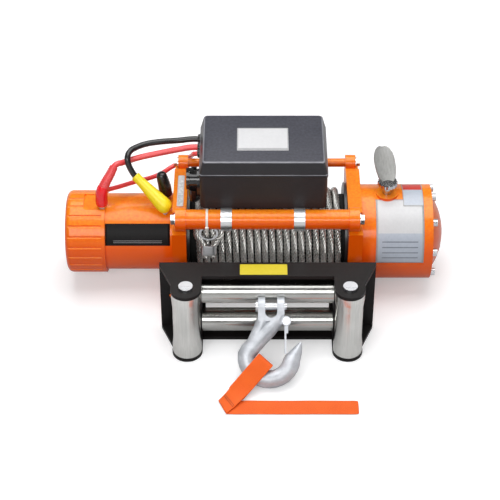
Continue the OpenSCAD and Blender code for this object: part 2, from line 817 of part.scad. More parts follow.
module carrier(x_planets, x_hub, hub_len, hub_r, bore) {
    color("slategray") difference() {
        union() {
            rod_x(x_planets - stage_gap - carrier_w, carrier_w, carrier_r);
            for (k = [0:2], a = [90 + k * stage_turn])
                rod_x(x_planets - stage_gap - tile, gear_w + stage_gap + tile, planet_pin_r,
                      centre_r * cos(a), axis_h + centre_r * sin(a));
            if (hub_r > 0) rod_x(x_hub, hub_len + tile, hub_r);
            else translate([tile, 0, 0]) gear(x_hub, sun_teeth, 0);
        }
        rod_x(x_out - 2 * journal_len, x_cover, bore);
    }
}

sun_bore = shaft_thin_r + stage_gap;
module carrier_3() {
    carrier(x_gear_3, x_in + near, x_gear_3 - stage_gap - carrier_w - x_in - near, journal_bore - seat,
            hex_r + 2 * run);
}
module carrier_2() { carrier(x_gear_2, x_gear_2 - stage_gap - carrier_w - gear_w, 0, 0, sun_bore); }
module carrier_1() { carrier(x_gear_1, x_gear_1 - stage_gap - carrier_w - gear_w, 0, 0, sun_bore); }

// Clutch
module clutch_lever() {
    translate([x_out + clutch_x, 0, 0]) color("gray") difference() {
        union() {
            translate([0, 0, stem_z + near]) cylinder(h = collar_z - stem_z, r = stem_r);
            translate([0, 0, collar_z]) cylinder(h = collar_h, r = collar_r);
            for (k = [1:collar_ribs]) rotate([0, 0, k * 360 / collar_ribs])
                translate([collar_r, 0, collar_z + rib_r]) cylinder(h = collar_h - 2 * rib_r, r = rib_r, $fn = 24);
            translate([0, 0, collar_z + collar_h - tile]) rotate([paddle_rise, 0, paddle_turn]) hull() {
                cylinder(h = paddle_t, r = paddle_foot_r, $fn = 32);
                translate([0, paddle_share * paddle_len, 0]) cylinder(h = paddle_t, r = paddle_w / 2, $fn = 32);
                translate([0, paddle_len - paddle_foot_r, 0]) cylinder(h = paddle_t, r = paddle_foot_r, $fn = 32);
            }
        }
        translate([0, 0, stem_z - over]) cylinder(h = pin_top - stem_z + pin_lift + 2 * over, r = pin_r + near);
    }
}

module shift_pin() {
    color("silver") translate([x_out + clutch_x, 0, axis_h + ring_pocket_r + near])
        cylinder(h = pin_top - axis_h - ring_pocket_r - near, r = pin_r);
}

// Control box
module control_box_base() {
    color([0.2, 0.2, 0.21]) difference() {
        rounded_block([box_x, box_y, box_z], [box_x + box_len, box_y + box_depth, box_z + box_h], box_corner);
        rounded_block([box_x + box_wall, box_y + box_wall, box_z + box_wall],
                      [box_x + box_len - box_wall, box_y + box_depth - box_wall, box_z + box_h + over],
                      box_corner - box_wall);
        for (r = [[black_y, lead_r], [thick_y, lead_r], [thin_y, thin_lead_r]])
            rod_x(box_x - over, box_wall + 2 * over, r[1] + near, r[0], lead_z);
    }
}

// The lid leans in from its rim, least at the front, and its top edge is broken
module lid_form(out, rise) {
    low = box_z + box_h;
    hull() for (x = [-1, 1], y = [-1, 1]) {
        reach = [box_len / 2 - box_corner, box_depth / 2 - box_corner];
        lean_in = [lid_taper, y < 0 ? lid_front : lid_taper];
        top = low + lid_h + rise;
        for (level = [[low - over, 0, 0], [top - lid_edge, 1, 0], [top, 1, lid_edge]])
            translate([box_mid_x + x * (reach[0] - level[1] * lean_in[0]),
                       box_mid_y + y * (reach[1] - level[1] * lean_in[1]), level[0] - tile])
                cylinder(h = tile, r = box_corner + out - level[2], $fn = 32);
    }
}

module control_box_lid() {
    low = box_z + box_h;
    color([0.24, 0.24, 0.25]) difference() {
        lid_form(0, 0);
        lid_form(-box_wall, -box_wall);
        block([box_x - over, box_y - over, low - 2 * over],
              [box_x + box_len + over, box_y + box_depth + over, low]);
    }
}

module contactor() {
    low = box_z + box_wall;
    color("black") block([box_mid_x - contactor_len / 2, box_mid_y - contactor_w / 2, low],
                         [box_mid_x + contactor_len / 2, box_mid_y + contactor_w / 2, low + contactor_h]);
    color("peru") for (x = [-1, 1], y = [-1, 1])
        translate([box_mid_x + x * contactor_len / 3, box_mid_y + y * contactor_w / 4, low + contactor_h - tile])
            cylinder(h = stud_len, r = stud_r);
}

module box_straps() {
    top = box_z;
    color("silver") for (x = strap_places) translate([x - strap_w / 2, 0, 0])
        rotate([90, 0, 90]) linear_extrude(height = strap_w) difference() {
            union() {
                translate([-bar_y, bar_z]) circle(r = front_bar_r + seat + strap_t);
                translate([bar_y, bar_z]) circle(r = rear_bar_r + seat + strap_t);
                translate([-bar_y + front_bar_r - strap_t, top - strap_t])
                    square([2 * bar_y - front_bar_r + strap_t, strap_t]);
                translate([bar_y - strap_t / 2, bar_z + rear_bar_r]) square([strap_t, top - bar_z - rear_bar_r]);
            }
            translate([-bar_y, bar_z]) circle(r = front_bar_r + seat);
            translate([bar_y, bar_z]) circle(r = rear_bar_r + seat);
            translate([box_y - over, top]) square([box_depth + 2 * over, box_h]);
        }
}

module remote_socket() {
    color("black") difference() {
        union() {
            for (z = [0, socket_flange])
                rod_x(box_x - socket_plate, socket_plate, socket_r, socket_y, socket_z - z);
            block([box_x - socket_plate, socket_y - socket_r, socket_z - socket_flange],
                  [box_x, socket_y + socket_r, socket_z]);
            rod_x(box_x - socket_len, socket_len, socket_r - socket_step, socket_y, socket_z);
            block([box_x - socket_len + socket_step, socket_y - socket_ear,
                   socket_z + socket_r - socket_step - tile],
                  [box_x - socket_plate, socket_y + socket_ear, hinge_z + hinge_r]);
            translate([box_x - tail_r - tile, socket_y, socket_z - socket_r - near - tail_len]) {
                cylinder(h = tail_len - near, r = tail_r);
                sphere(r = tail_r - tile);
            }
        }
        rod_x(box_x - socket_len - over, socket_len - socket_plate, socket_r - 2 * socket_step,
              socket_y, socket_z);
        rod_y(socket_y - socket_r, 2 * socket_r, hinge_r / 2 + seat, hinge_x, hinge_z);
        block([box_x - socket_len, socket_y - socket_ear / 2 - near, hinge_z - hinge_r - near],
              [hinge_x + 2 * hinge_r, socket_y + socket_ear / 2 + near, hinge_z + 2 * hinge_r]);
    }
}

module socket_cap() {
    color("black") {
        rod_x(box_x - socket_len - near - cap_t, cap_t, socket_r, socket_y, socket_z);
        rod_y(socket_y - socket_ear / 2, socket_ear, hinge_r, hinge_x, hinge_z);
        block([box_x - socket_len - near - cap_t, socket_y - socket_ear / 2, hinge_z - hinge_r / 2],
              [hinge_x, socket_y + socket_ear / 2, hinge_z + hinge_r]);
        block([box_x - socket_len - near - cap_t, socket_y - socket_ear / 2, socket_z],
              [box_x - socket_len - near, socket_y + socket_ear / 2, hinge_z + hinge_r]);
        rod_y(socket_y - socket_ear + near, 2 * socket_ear - 2 * near, hinge_r / 2, hinge_x, hinge_z);
    }
}

// Leads, along points chosen by hand, and their rubber boots
function lead_exit(y) = [[box_x, y, lead_z], [box_x - lead_out, y, lead_z]];
function gripped(top, foot) = [top, top + boot_grip * unit(foot - top)];
black_route = concat(lead_exit(black_y), black_bends, gripped(yellow_top, yellow_foot));
thick_route = concat(lead_exit(thick_y), thick_bends, gripped(red_top, red_foot + [0, 0, red_knee]));
thin_route = concat([[box_x, thin_y, lead_z]], thin_bends);

module lead(route, r) { tube(smooth_route(route, lead_steps), r, 10); }
module black_lead() { color([0.12, 0.12, 0.12]) lead(black_route, lead_r); }
module thick_red_lead() { color("red") lead(thick_route, lead_r); }
module thin_red_lead() { color("red") lead(thin_route, thin_lead_r); }

// A boot stands on its stud, rises straight for the knee's length and then leans to its top
module boot(foot, top, foot_r, top_r, knee) {
    bend = foot + [0, 0, knee];
    axis = top - bend;
    len = norm(axis);
    difference() {
        union() {
            translate(bend) rotate([0, acos(axis[2] / len), atan2(axis[1], axis[0])])
                cylinder(h = len, r1 = foot_r, r2 = top_r);
            translate(bend) sphere(r = foot_r);
            translate(foot - [0, 0, boot_sit]) cylinder(h = boot_sit + knee, r = foot_r - tile);
        }
        translate([foot[0], foot[1], axis_h]) cylinder(h = foot[2] - axis_h + stud_len, r = stud_r + near);
        translate([foot[0], foot[1], axis_h]) cylinder(h = foot[2] - axis_h - boot_sit, r = 2 * foot_r);
        translate([foot[0], foot[1], axis_h]) cylinder(h = foot[2] - axis_h + stud_nut_h, r = 2 * stud_r + near);
    }
}

module black_boot() {
    color("black") {
        boot(black_foot, black_boot_top, boot_r, black_top_r, 0);
        translate(black_boot_top) sphere(r = black_top_r - tile);
    }
}
module yellow_boot() {
    color("gold") difference() {
        boot(yellow_foot, yellow_top, boot_r, lead_r + boot_wall, 0);
        lead(black_route, lead_r + near);
    }
}
module red_boot() {
    color("red") difference() {
        boot(red_foot, red_top, boot_r - boot_wall, lead_r + boot_wall, red_knee);
        lead(thick_route, lead_r + near);
        lead(thin_route, thin_lead_r + near);
    }
}

// Fairlead
module flange_outline() {
    translate([-fair_len / 2, fair_y - fair_t]) square([fair_len, fair_t]);
    translate([-nose_x, fair_front]) square([2 * nose_x, fair_depth]);
    for (m = [0, 1]) mirror([m, 0]) {
        translate([nose_x, nose_y]) circle(r = nose_r);
        polygon([[fair_len / 2, fair_y], [fair_len / 2, fair_y - fair_t],
                 [nose_x + nose_r * cos(nose_turn), nose_y + nose_r * sin(nose_turn)], [nose_x, nose_y],
                 [nose_x - nose_r, nose_y], [nose_x - nose_r, fair_y]]);
    }
}

module fairlead_frame() {
    mid = fair_h / 2;
    color([0.08, 0.08, 0.08]) difference() {
        union() {
            for (z = [0, fair_h - fair_t]) translate([0, 0, z]) linear_extrude(height = fair_t) flange_outline();
            block([-fair_len / 2, fair_y - fair_t, 0], [fair_len / 2, fair_y, fair_h]);
            for (x = [-ear_in - ear_t, ear_in])
                block([x, fair_y - ear_depth, tile], [x + ear_t, fair_y - tile, fair_h - tile]);
        }
        block([-window_x, fair_y - 2 * fair_t, mid - window_h / 2],
              [window_x, fair_y + over, mid + window_h / 2]);
        for (m = [-1, 1]) {
            rod_y(fair_y - 2 * fair_t, 3 * fair_t, fair_hole_r, m * fair_pitch / 2, mid);
            translate([m * nose_x, nose_y, -over]) cylinder(h = fair_h + 2 * over, r = side_pin_r + seat);
            for (z = [-roller_rise, roller_rise])
                rod_x(-fair_len, 2 * fair_len, roller_pin_r + seat, roller_y, mid + z);
        }
    }
}

module roller_pins() {
    color("silver") {
        for (x = [-nose_x, nose_x]) translate([x, nose_y, 0]) {
            translate([0, 0, nut_rise]) cylinder(h = fair_h - nut_rise, r = side_pin_r);
            translate([0, 0, fair_h]) cylinder(h = side_head_h, r = side_head_r);
        }
        for (z = [-roller_rise, roller_rise]) {
            rod_x(-ear_in - ear_t, 2 * (ear_in + ear_t), roller_pin_r, roller_y, fair_h / 2 + z);
            for (x = [-ear_in - ear_t - side_head_h, ear_in + ear_t])
                rod_x(x, side_head_h, side_head_r, roller_y, fair_h / 2 + z);
        }
    }
}

module side_roller(x) {
    len = fair_h - 2 * fair_t - 2 * near;
    color("silver") translate([x, nose_y, fair_t + near]) rotate_extrude() polygon([
        [side_pin_r + run, 0], [side_roller_r, 0], [side_roller_r, roller_rim],
        [side_roller_r - waist, roller_rim + roller_flare],
        [side_roller_r - waist, len - roller_rim - roller_flare],
        [side_roller_r, len - roller_rim], [side_roller_r, len], [side_pin_r + run, len]]);
}

module left_roller() { side_roller(-nose_x); }
module right_roller() { side_roller(nose_x); }

module long_roller(z) {
    color("silver") difference() {
        rod_x(-roller_half, 2 * roller_half, roller_r, roller_y, z);
        rod_x(-roller_half - over, 2 * (roller_half + over), roller_pin_r + run, roller_y, z);
    }
}

module upper_roller() { long_roller(fair_h / 2 + roller_rise); }
module lower_roller() { long_roller(fair_h / 2 - roller_rise); }

// Hook, in a frame that leans back: x across, y up the hook, z out of its face
module lean() {
    translate([hook_x, hook_y, hook_z]) rotate([hook_lean, 0, 0]) children();
}

module hook() {
    color("silver") lean() difference() {
        union() {
            shaped_tube(hook_points, 20);
            shaped_tube(branch_points, 20);
            for (u = [-clevis_gap / 2 - ear_w, clevis_gap / 2]) hull() {
                translate([u, 0, 0]) rotate([0, 90, 0]) cylinder(h = ear_w, r = ear_r);
                translate([u, clevis_base, -neck_half]) cube([ear_w, tile, 2 * neck_half]);
            }
            translate([-clevis_gap / 2 - tile, clevis_base, -neck_half])
                cube([clevis_gap + 2 * tile, -clevis_base / 2, 2 * neck_half]);
            translate([latch_at[0], latch_at[1], -latch_w / 2 + latch_t + near])
                cylinder(h = latch_w - 2 * (latch_t + near), r = lug_r);
        }
        translate([0, gap_foot + clevis_gap / 2, -hook_width]) cylinder(h = 2 * hook_width, r = clevis_gap / 2);
        block([-clevis_gap / 2, gap_foot + clevis_gap / 2, -hook_width],
              [clevis_gap / 2, hook_width, hook_width]);
        translate([-2 * hook_r, 0, 0]) rotate([0, 90, 0]) cylinder(h = 4 * hook_r, r = clevis_pin_r + run);
        translate([latch_at[0], latch_at[1], -hook_r]) cylinder(h = 2 * hook_r, r = latch_pin_r + run);
        for (z = [-hook_width, latch_w / 2 - latch_t - near])
            translate([latch_at[0], latch_at[1], z])
                cylinder(h = hook_width - latch_w / 2 + latch_t + near, r = latch_relief_r);
    }
}

module hook_pins() {
    color("silver") lean() {
        half = clevis_gap / 2 + ear_w;
        translate([-half - pin_head_h, 0, 0]) rotate([0, 90, 0]) {
            cylinder(h = 2 * (half + pin_head_h), r = clevis_pin_r);
            cylinder(h = pin_head_h - seat, r = pin_head_r);
        }
        translate([latch_at[0], latch_at[1], -latch_w / 2 - washer_t]) {
            cylinder(h = latch_w + 2 * washer_t, r = latch_pin_r);
            cylinder(h = washer_t - seat, r = 2 * latch_pin_r);
            translate([0, 0, latch_w + washer_t + seat]) cylinder(h = washer_t, r = 2 * latch_pin_r);
        }
    }
}

module hook_latch() {
    color("silver") lean() translate([latch_at[0], latch_at[1], 0]) difference() {
        union() {
            for (z = [-latch_w / 2, latch_w / 2 - latch_t]) translate([0, 0, z]) {
                cylinder(h = latch_t, r = lug_r);
                translate([-latch_t, -latch_cheek, 0]) cube([2 * latch_t, latch_cheek, latch_t]);
            }
            translate([-latch_t, -latch_reach, -latch_w / 2])
                cube([latch_t, latch_reach - latch_cheek + latch_t, latch_w]);
        }
        translate([0, 0, -latch_w]) cylinder(h = 2 * latch_w, r = latch_pin_r + run);
    }
}

// Pull strap: webbing looped round the hook's bowl and folded along the floor
function ribbon_side(p, side) = [for (i = [0:len(p) - 1])
    let(d = unit(p[min(i + 1, len(p) - 1)] - p[max(i - 1, 0)]))
    p[i] + side * web_t / 2 * [-d[1], d[0]]];
function mirrored(p) = [for (i = [len(p) - 1:-1:0]) p[i]];
module ribbon(p) { polygon(concat(ribbon_side(p, 1), mirrored(ribbon_side(p, -1)))); }

web_slack = 0.5;
web_out = hook_r + web_t / 2 + web_slack;
bowl_mid = 23.6;
web_turn_x = 2.6;
web_turn_r = 3;
// Places along the strap's edge: down its upper layer, round the bowl and back up inside
web_loop = concat(
    [[92, 21.5], [70, 17.5], [45, 14.6], [bowl_mid, web_out]],
    [for (a = [110:20:250]) [web_turn_x + web_turn_r * cos(a), web_out * sin(a)]],
    [for (a = [-90:15:-30]) [bowl_mid + web_out * cos(a), web_out * sin(a)]],
    [[40.5, -1.5], [50, 6], [61, 13]]);
floor_fold = [[-64, -260.6], [-53, -285.6]];
floor_end = 119;

module hook_strap() {
    color("orangered") {
        intersection() {
            lean() translate([web_at[0], web_at[1], 0]) rotate([0, 0, web_angle]) rotate([90, 0, 0])
                translate([0, 0, -web_w / 2]) linear_extrude(height = web_w) ribbon(web_loop);
            block([-fair_len, 2 * fair_y - fair_len, near], [fair_len, 0, fair_h]);
        }
        translate([0, 0, near]) linear_extrude(height = web_t) polygon([
            floor_fold[0], [floor_end, floor_fold[0][1]], [floor_end, floor_fold[1][1]], floor_fold[1]]);
    }
}

motor_can();
motor_end_cap();
motor_bracket();
gear_bracket();
gear_housing();
gear_end_cover();
front_tie_bar();
rear_tie_bar();
tie_bar_bolts();
gear_cover_bolts();
control_box_base();
control_box_lid();
contactor();
box_straps();
remote_socket();
socket_cap();
black_lead();
thick_red_lead();
thin_red_lead();
black_boot();
yellow_boot();
red_boot();
motor_studs();
field_coils();
motor_brushes();
bearings();
ring_gear();
fairlead_frame();
roller_pins();
drum();
rope_core();
wound_rope();
rope_eye();
rope_thimble();
drive_shaft();
armature();
commutator();
brake_cone();
carrier_1();
carrier_2();
carrier_3();
clutch_lever();
shift_pin();
left_roller();
right_roller();
upper_roller();
lower_roller();
hook();
hook_latch();
hook_pins();
hook_strap();
for (stage = [1:3], k = [1:3]) planet(stage, k);
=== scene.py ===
import json
import math

import bmesh
import bpy
from mathutils import Matrix, Vector


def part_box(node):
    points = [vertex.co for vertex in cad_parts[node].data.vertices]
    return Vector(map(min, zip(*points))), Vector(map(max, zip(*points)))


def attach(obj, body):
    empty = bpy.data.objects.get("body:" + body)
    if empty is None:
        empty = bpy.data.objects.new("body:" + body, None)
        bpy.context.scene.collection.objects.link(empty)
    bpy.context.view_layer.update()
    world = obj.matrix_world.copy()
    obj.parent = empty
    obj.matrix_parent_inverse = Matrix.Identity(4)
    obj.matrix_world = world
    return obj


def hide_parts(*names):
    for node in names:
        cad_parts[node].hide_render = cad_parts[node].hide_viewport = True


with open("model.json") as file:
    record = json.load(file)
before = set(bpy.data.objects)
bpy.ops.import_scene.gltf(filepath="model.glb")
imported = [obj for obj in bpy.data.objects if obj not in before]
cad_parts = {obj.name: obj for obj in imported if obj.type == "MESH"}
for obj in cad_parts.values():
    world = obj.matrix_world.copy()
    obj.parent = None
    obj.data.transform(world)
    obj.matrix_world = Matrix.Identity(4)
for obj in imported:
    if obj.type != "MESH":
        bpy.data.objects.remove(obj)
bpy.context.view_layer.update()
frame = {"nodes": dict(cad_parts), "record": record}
drumAxis = Vector((0, 0, 0.076))
print("frame loaded")


def mm(*xyz):
    return Vector(xyz) / 1000


def moved(*xyz):
    return Matrix.Translation(mm(*xyz))


def turned(degrees, axis):
    return Matrix.Rotation(math.radians(degrees), 4, axis)


def onCircle(degrees):
    return math.cos(math.radians(degrees)), math.sin(math.radians(degrees))


def linked(name, data):
    made = bpy.data.objects.new(name, data)
    bpy.context.scene.collection.objects.link(made)
    return made


def meshOf(name, bm):
    mesh = bpy.data.meshes.new(name)
    bm.to_mesh(mesh)
    bm.free()
    return mesh


def meshPiece(name, bm, mats, smooth=None, body="frame"):
    # a named piece from a bmesh, riding on a body; mats are keys of finish
    bmesh.ops.recalc_face_normals(bm, faces=bm.faces[:])
    mesh = meshOf(name, bm)
    piece = linked(name, mesh)
    for mat in mats:
        mesh.materials.append(finish[mat])
    if smooth is not None:
        mesh.shade_smooth()
        mesh.set_sharp_from_angle(angle=math.radians(smooth))
    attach(piece, body)
    return piece


def addModifier(piece, kind, **settings):
    mod = piece.modifiers.new(kind.title(), kind)
    for key, value in settings.items():
        setattr(mod, key, value)


def aimed(start, direction):
    # places a shape drawn along +Z at start, pointing along direction
    return Matrix.Translation(start) @ Vector(direction).to_track_quat("Z", "Y").to_matrix().to_4x4()


def latheInto(bm, profile, steps, place=Matrix.Identity(4), unit=1000):
    # spins (radius, height) points round local Z; radius 0 closes the end
    verts = [bm.verts.new(place @ Vector((r / unit, 0, h / unit))) for r, h in profile]
    edges = [bm.edges.new(pair) for pair in zip(verts, verts[1:])]
    bmesh.ops.spin(bm, geom=verts + edges, cent=place.translation, axis=place.to_3x3() @ Vector((0, 0, 1)),
                   angle=2 * math.pi, steps=steps, use_merge=True)
    bmesh.ops.remove_doubles(bm, verts=bm.verts[:], dist=1e-6)


def lathe(name, profile, place, mat, steps, body="frame", stretch=1.0):
    # stretch widens the turned shape along its local X
    bm = bmesh.new()
    latheInto(bm, profile, steps)
    bmesh.ops.transform(bm, matrix=place @ Matrix.Diagonal((stretch, 1, 1, 1)), verts=bm.verts[:])
    return meshPiece(name, bm, [mat], 35, body)


def newCurve(name, radius, sides):
    # a curve with a round section and closed ends
    curve = bpy.data.curves.new(name, "CURVE")
    curve.dimensions = "3D"
    curve.bevel_depth = radius
    curve.bevel_resolution = sides
    curve.use_fill_caps = True
    return curve


def polyLine(curve, points, radii=None):
    spline = curve.splines.new("POLY")
    spline.points.add(len(points) - 1)
    for i, (knot, point) in enumerate(zip(spline.points, points)):
        knot.co = (*point, 1)
        knot.radius = radii[i] if radii else 1.0
    return spline


def strandCurve(name, lines, radius, sides, smoothRoute=False):
    # one curve with a round section along each line of points
    curve = newCurve(name, radius, sides)
    for line in lines:
        if smoothRoute:
            spline = curve.splines.new("BEZIER")
            spline.bezier_points.add(len(line) - 1)
            spline.resolution_u = 10
            for knot, point in zip(spline.bezier_points, line):
                knot.co = point
                knot.handle_left_type = knot.handle_right_type = "AUTO"
        else:
            polyLine(curve, line).use_smooth = True
    return curve


def bakedMesh(curve):
    # the mesh of a curve, which goes
    source = linked(curve.name, curve)
    bpy.context.view_layer.update()
    mesh = bpy.data.meshes.new_from_object(source.evaluated_get(bpy.context.evaluated_depsgraph_get()))
    bpy.data.objects.remove(source)
    bpy.data.curves.remove(curve)
    return mesh


def smoothPiece(name, mesh, mat):
    mesh.materials.clear()
    mesh.materials.append(finish[mat])
    mesh.shade_smooth()
    return linked(name, mesh)


def curvePiece(name, lines, radius, sides, mat, body="frame", smoothRoute=False):
    piece = smoothPiece(name, bakedMesh(strandCurve(name + "Line", lines, radius, sides, smoothRoute)), mat)
    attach(piece, body)
    return piece


def curvePath(points):
    # points along a smooth curve through the given ones
    mesh = bakedMesh(strandCurve("pathLine", [points], 0, 0, smoothRoute=True))
    path = [v.co.copy() for v in mesh.vertices]
    bpy.data.meshes.remove(mesh)
    return path


def boxInto(bm, low, high, place=Matrix.Identity(4), bevel=None):
    # a box; its bevel, if any, is a width in millimetres and a number of segments
    middle = Matrix.Translation((high + low) / 2)
    verts = bmesh.ops.create_cube(bm, size=1, matrix=place @ middle @ Matrix.Diagonal((*(high - low), 1)))["verts"]
    if bevel:
        bevelEdges(bm, list({e for v in verts for e in v.link_edges}), *bevel)


def bevelEdges(bm, edges, width, segments):
    bmesh.ops.bevel(bm, geom=edges, offset=width / 1000, offset_type="OFFSET", segments=segments, profile=0.5,
                    affect="EDGES", material=-1, clamp_overlap=True)


def feed(tree, socket, value):
    # links another node's socket, or sets a value; a colour is given without its alpha
    if isinstance(value, bpy.types.NodeSocket):
        tree.links.new(value, socket)
    else:
        socket.default_value = (*value, 1) if socket.type == "RGBA" else value


def node(tree, kind, inputs=None, **settings):
    # a new node; inputs are named by label or number
    made = tree.nodes.new(kind)
    for key, value in settings.items():
        setattr(made, key, value)
    for key, value in (inputs or {}).items():
        feed(tree, made.inputs[key], value)
    return made


def maths(tree, operation, *values):
    return node(tree, "ShaderNodeMath", dict(enumerate(values)), operation=operation).outputs[0]


def product(tree, first, *others):
    for other in others:
        first = maths(tree, "MULTIPLY", first, other)
    return first


def remap(tree, source, low, high, toLow=0.0, toHigh=1.0):
    return node(tree, "ShaderNodeMapRange", {"Value": source, "From Min": low, "From Max": high,
                                             "To Min": toLow, "To Max": toHigh}).outputs[0]


def mixValues(tree, share, first, second):
    return node(tree, "ShaderNodeMix", {0: share, 2: first, 3: second}, data_type="FLOAT").outputs[0]


def mixTones(tree, share, first, second):
    return node(tree, "ShaderNodeMix", {0: share, 6: first, 7: second}, data_type="RGBA").outputs[2]


def noise(tree, place, scale, detail, roughness=0.5):
    return node(tree, "ShaderNodeTexNoise", {"Vector": place, "Scale": scale, "Detail": detail,
                                             "Roughness": roughness}).outputs[0]


def partsOf(tree, vector):
    return node(tree, "ShaderNodeSeparateXYZ", {0: vector}).outputs


def facingUp(tree):
    # the upward part of the surface's normal
    return partsOf(tree, node(tree, "ShaderNodeNewGeometry").outputs["Normal"])[2]


def newGroup(name, values, results):
    # a group with a vector, these values and these results; returned with its inner sockets
    group = bpy.data.node_groups.new(name, "ShaderNodeTree")
    group.interface.new_socket("Vector", in_out="INPUT", socket_type="NodeSocketVector")
    for label, value in values.items():
        group.interface.new_socket(label, in_out="INPUT", socket_type="NodeSocketFloat").default_value = value
    for label in results:
        group.interface.new_socket(label, in_out="OUTPUT", socket_type="NodeSocketFloat")
    return group, group.nodes.new("NodeGroupInput").outputs, group.nodes.new("NodeGroupOutput").inputs


def makeGrainGroup():
    # fine grain and slow clouding of a surface
    group, given, out = newGroup("surfaceGrain", dict(Fine=900.0, Cloud=18.0, Share=0.5), ("Tone", "Height"))
    fine = noise(group, given["Vector"], given["Fine"], detail=3.0)
    cloud = noise(group, given["Vector"], given["Cloud"], detail=4.0)
    feed(group, out["Tone"], mixValues(group, given["Share"], fine, cloud))
    feed(group, out["Height"], fine)
    return group


def makeBrushGroup():
    # fine lines left by a brush or a lathe tool, along the vector's X
    group, given, out = newGroup("toolLines", dict(Along=6.0, Across=700.0), ("Tone", "Height"))
    scales = (given["Along"], given["Across"], given["Across"])
    stretched = [product(group, part, scale) for part, scale in zip(partsOf(group, given["Vector"]), scales)]
    joined = node(group, "ShaderNodeCombineXYZ", dict(enumerate(stretched))).outputs[0]
    lines = noise(group, joined, scale=1.0, detail=5.0, roughness=0.65)
    feed(group, out["Tone"], lines)
    feed(group, out["Height"], lines)
    return group


def makeDustAndLitTopGroup():
    # a film on faces that look up: thin dust, and painted light on the top where a material gives the film a strong
    # tone
    group, given, out = newGroup("restingDust", dict(Amount=0.2), ("Mask",))
    level = remap(group, facingUp(group), 0.2, 1.0)
    specks = noise(group, given["Vector"], scale=260.0, detail=6.0)
    feed(group, out["Mask"], product(group, level, specks, given["Amount"]))
    return group


def makeEdgeHighlightGroup():
    # painted highlight on rounded edges that face half up, paler in patches
    group, given, out = newGroup("rubbedEdges", {}, ("Mask",))
    up = facingUp(group)
    patches = remap(group, noise(group, given["Vector"], scale=55.0, detail=4.0), 0.25, 0.6, 0.55, 1.0)
    leaning = product(group, remap(group, up, 0.40, 0.62), remap(group, up, 0.97, 0.86))
    feed(group, out["Mask"], product(group, leaning, patches))
    return group


grainGroup = makeGrainGroup()
edgeHighlightGroup = makeEdgeHighlightGroup()
brushGroup = makeBrushGroup()
dustAndLitTopGroup = makeDustAndLitTopGroup()
noiseRange = (0.3, 0.7)  # nearly all of a noise's values lie between these


def material(name, roughness, metallic=0.0, coat=0.0, coatRoughness=0.1, specular=0.5, sheen=0.0):
    mat = bpy.data.materials.new(name)
    mat.use_nodes = True
    tree = mat.node_tree
    shader = tree.nodes["Principled BSDF"].inputs
    for label, value in (("Roughness", roughness), ("Metallic", metallic), ("Coat Weight", coat),
                         ("Coat Roughness", coatRoughness), ("Specular IOR Level", specular),
                         ("Sheen Weight", sheen)):
        feed(tree, shader[label], value)
    return mat, tree, shader, node(tree, "ShaderNodeTexCoord").outputs["Object"]


def useGroup(tree, group, place, **values):
    labelled = {key.title(): value for key, value in values.items()}
    return node(tree, "ShaderNodeGroup", {"Vector": place, **labelled}, node_tree=group).outputs


def ramp(tree, source, dark, light):
    made = node(tree, "ShaderNodeValToRGB", {0: source})
    for stop, at, tone in zip(made.color_ramp.elements, noiseRange, (dark, light)):
        stop.position = at
        stop.color = (*tone, 1)
    return made.outputs[0]


def bump(tree, shader, height, strength, distance):
    made = node(tree, "ShaderNodeBump", {"Height": height, "Strength": strength, "Distance": distance})
    feed(tree, shader["Normal"], made.outputs[0])


def dress(tree, shader, tone, gloss, rough, height, strength, distance):
    # a tone, a roughness that wanders between two values, and fine bumps
    feed(tree, shader["Base Color"], tone)
    feed(tree, shader["Roughness"], remap(tree, gloss, *noiseRange, *rough))
    bump(tree, shader, height, strength, distance)


view = dict(target=(-0.0236, 0.0, 0.041), distance=2.4, elevation=40.0, lens=122.0)


def makeCamera():
    data = bpy.data.cameras.new("camera")
    data.lens = view["lens"]
    data.clip_end = 50
    camera = linked("camera", data)
    up = math.radians(view["elevation"])
    camera.location = Vector(view["target"]) + view["distance"] * Vector((0, -math.cos(up), math.sin(up)))
    camera.rotation_euler = (math.pi / 2 - up, 0, 0)
    bpy.context.scene.camera = camera


def seenRays(tree, mirrored):
    # 1 for camera rays and the given share for glossy and transmission rays
    path = node(tree, "ShaderNodeLightPath").outputs
    total = path["Is Camera Ray"]
    for other in ("Is Glossy Ray", "Is Transmission Ray"):
        total = maths(tree, "MAXIMUM", total, product(tree, path[other], mirrored))
    return total


overhead = dict(place=(0.0, 0.19, 1.25), size=(1.15, 1.3), aim=(0.0, 0.05, 0.08))
lamps = dict(
    softbox=dict(overhead, power=14.0),
    gleam=dict(overhead, power=34.0),  # shows only in reflections
    front=dict(place=(-0.4, -1.5, 1.15), size=(1.5, 0.6), power=16.0, aim=(0.0, 0.0, 0.08)),
    side=dict(place=(1.5, -0.6, 0.7), size=(0.6, 1.2), power=3.0, aim=(0.0, 0.0, 0.08)),
)
surround = dict(fill=0.26, horizon=(0.04, 0.26), zenith=0.08)  # strengths of the white world
ground = dict(half=15, roughness=0.9, specular=0.1, dark=(0.30, 0.30, 0.31), pale=(0.86, 0.86, 0.87),
              paleMirrored=0.55,  # how much of the pale tone reflections find
              glow=(0.5, 2.2, 0.28, 0.9),  # from and to which distance, and its strength at both
              glowMirrored=0.30)


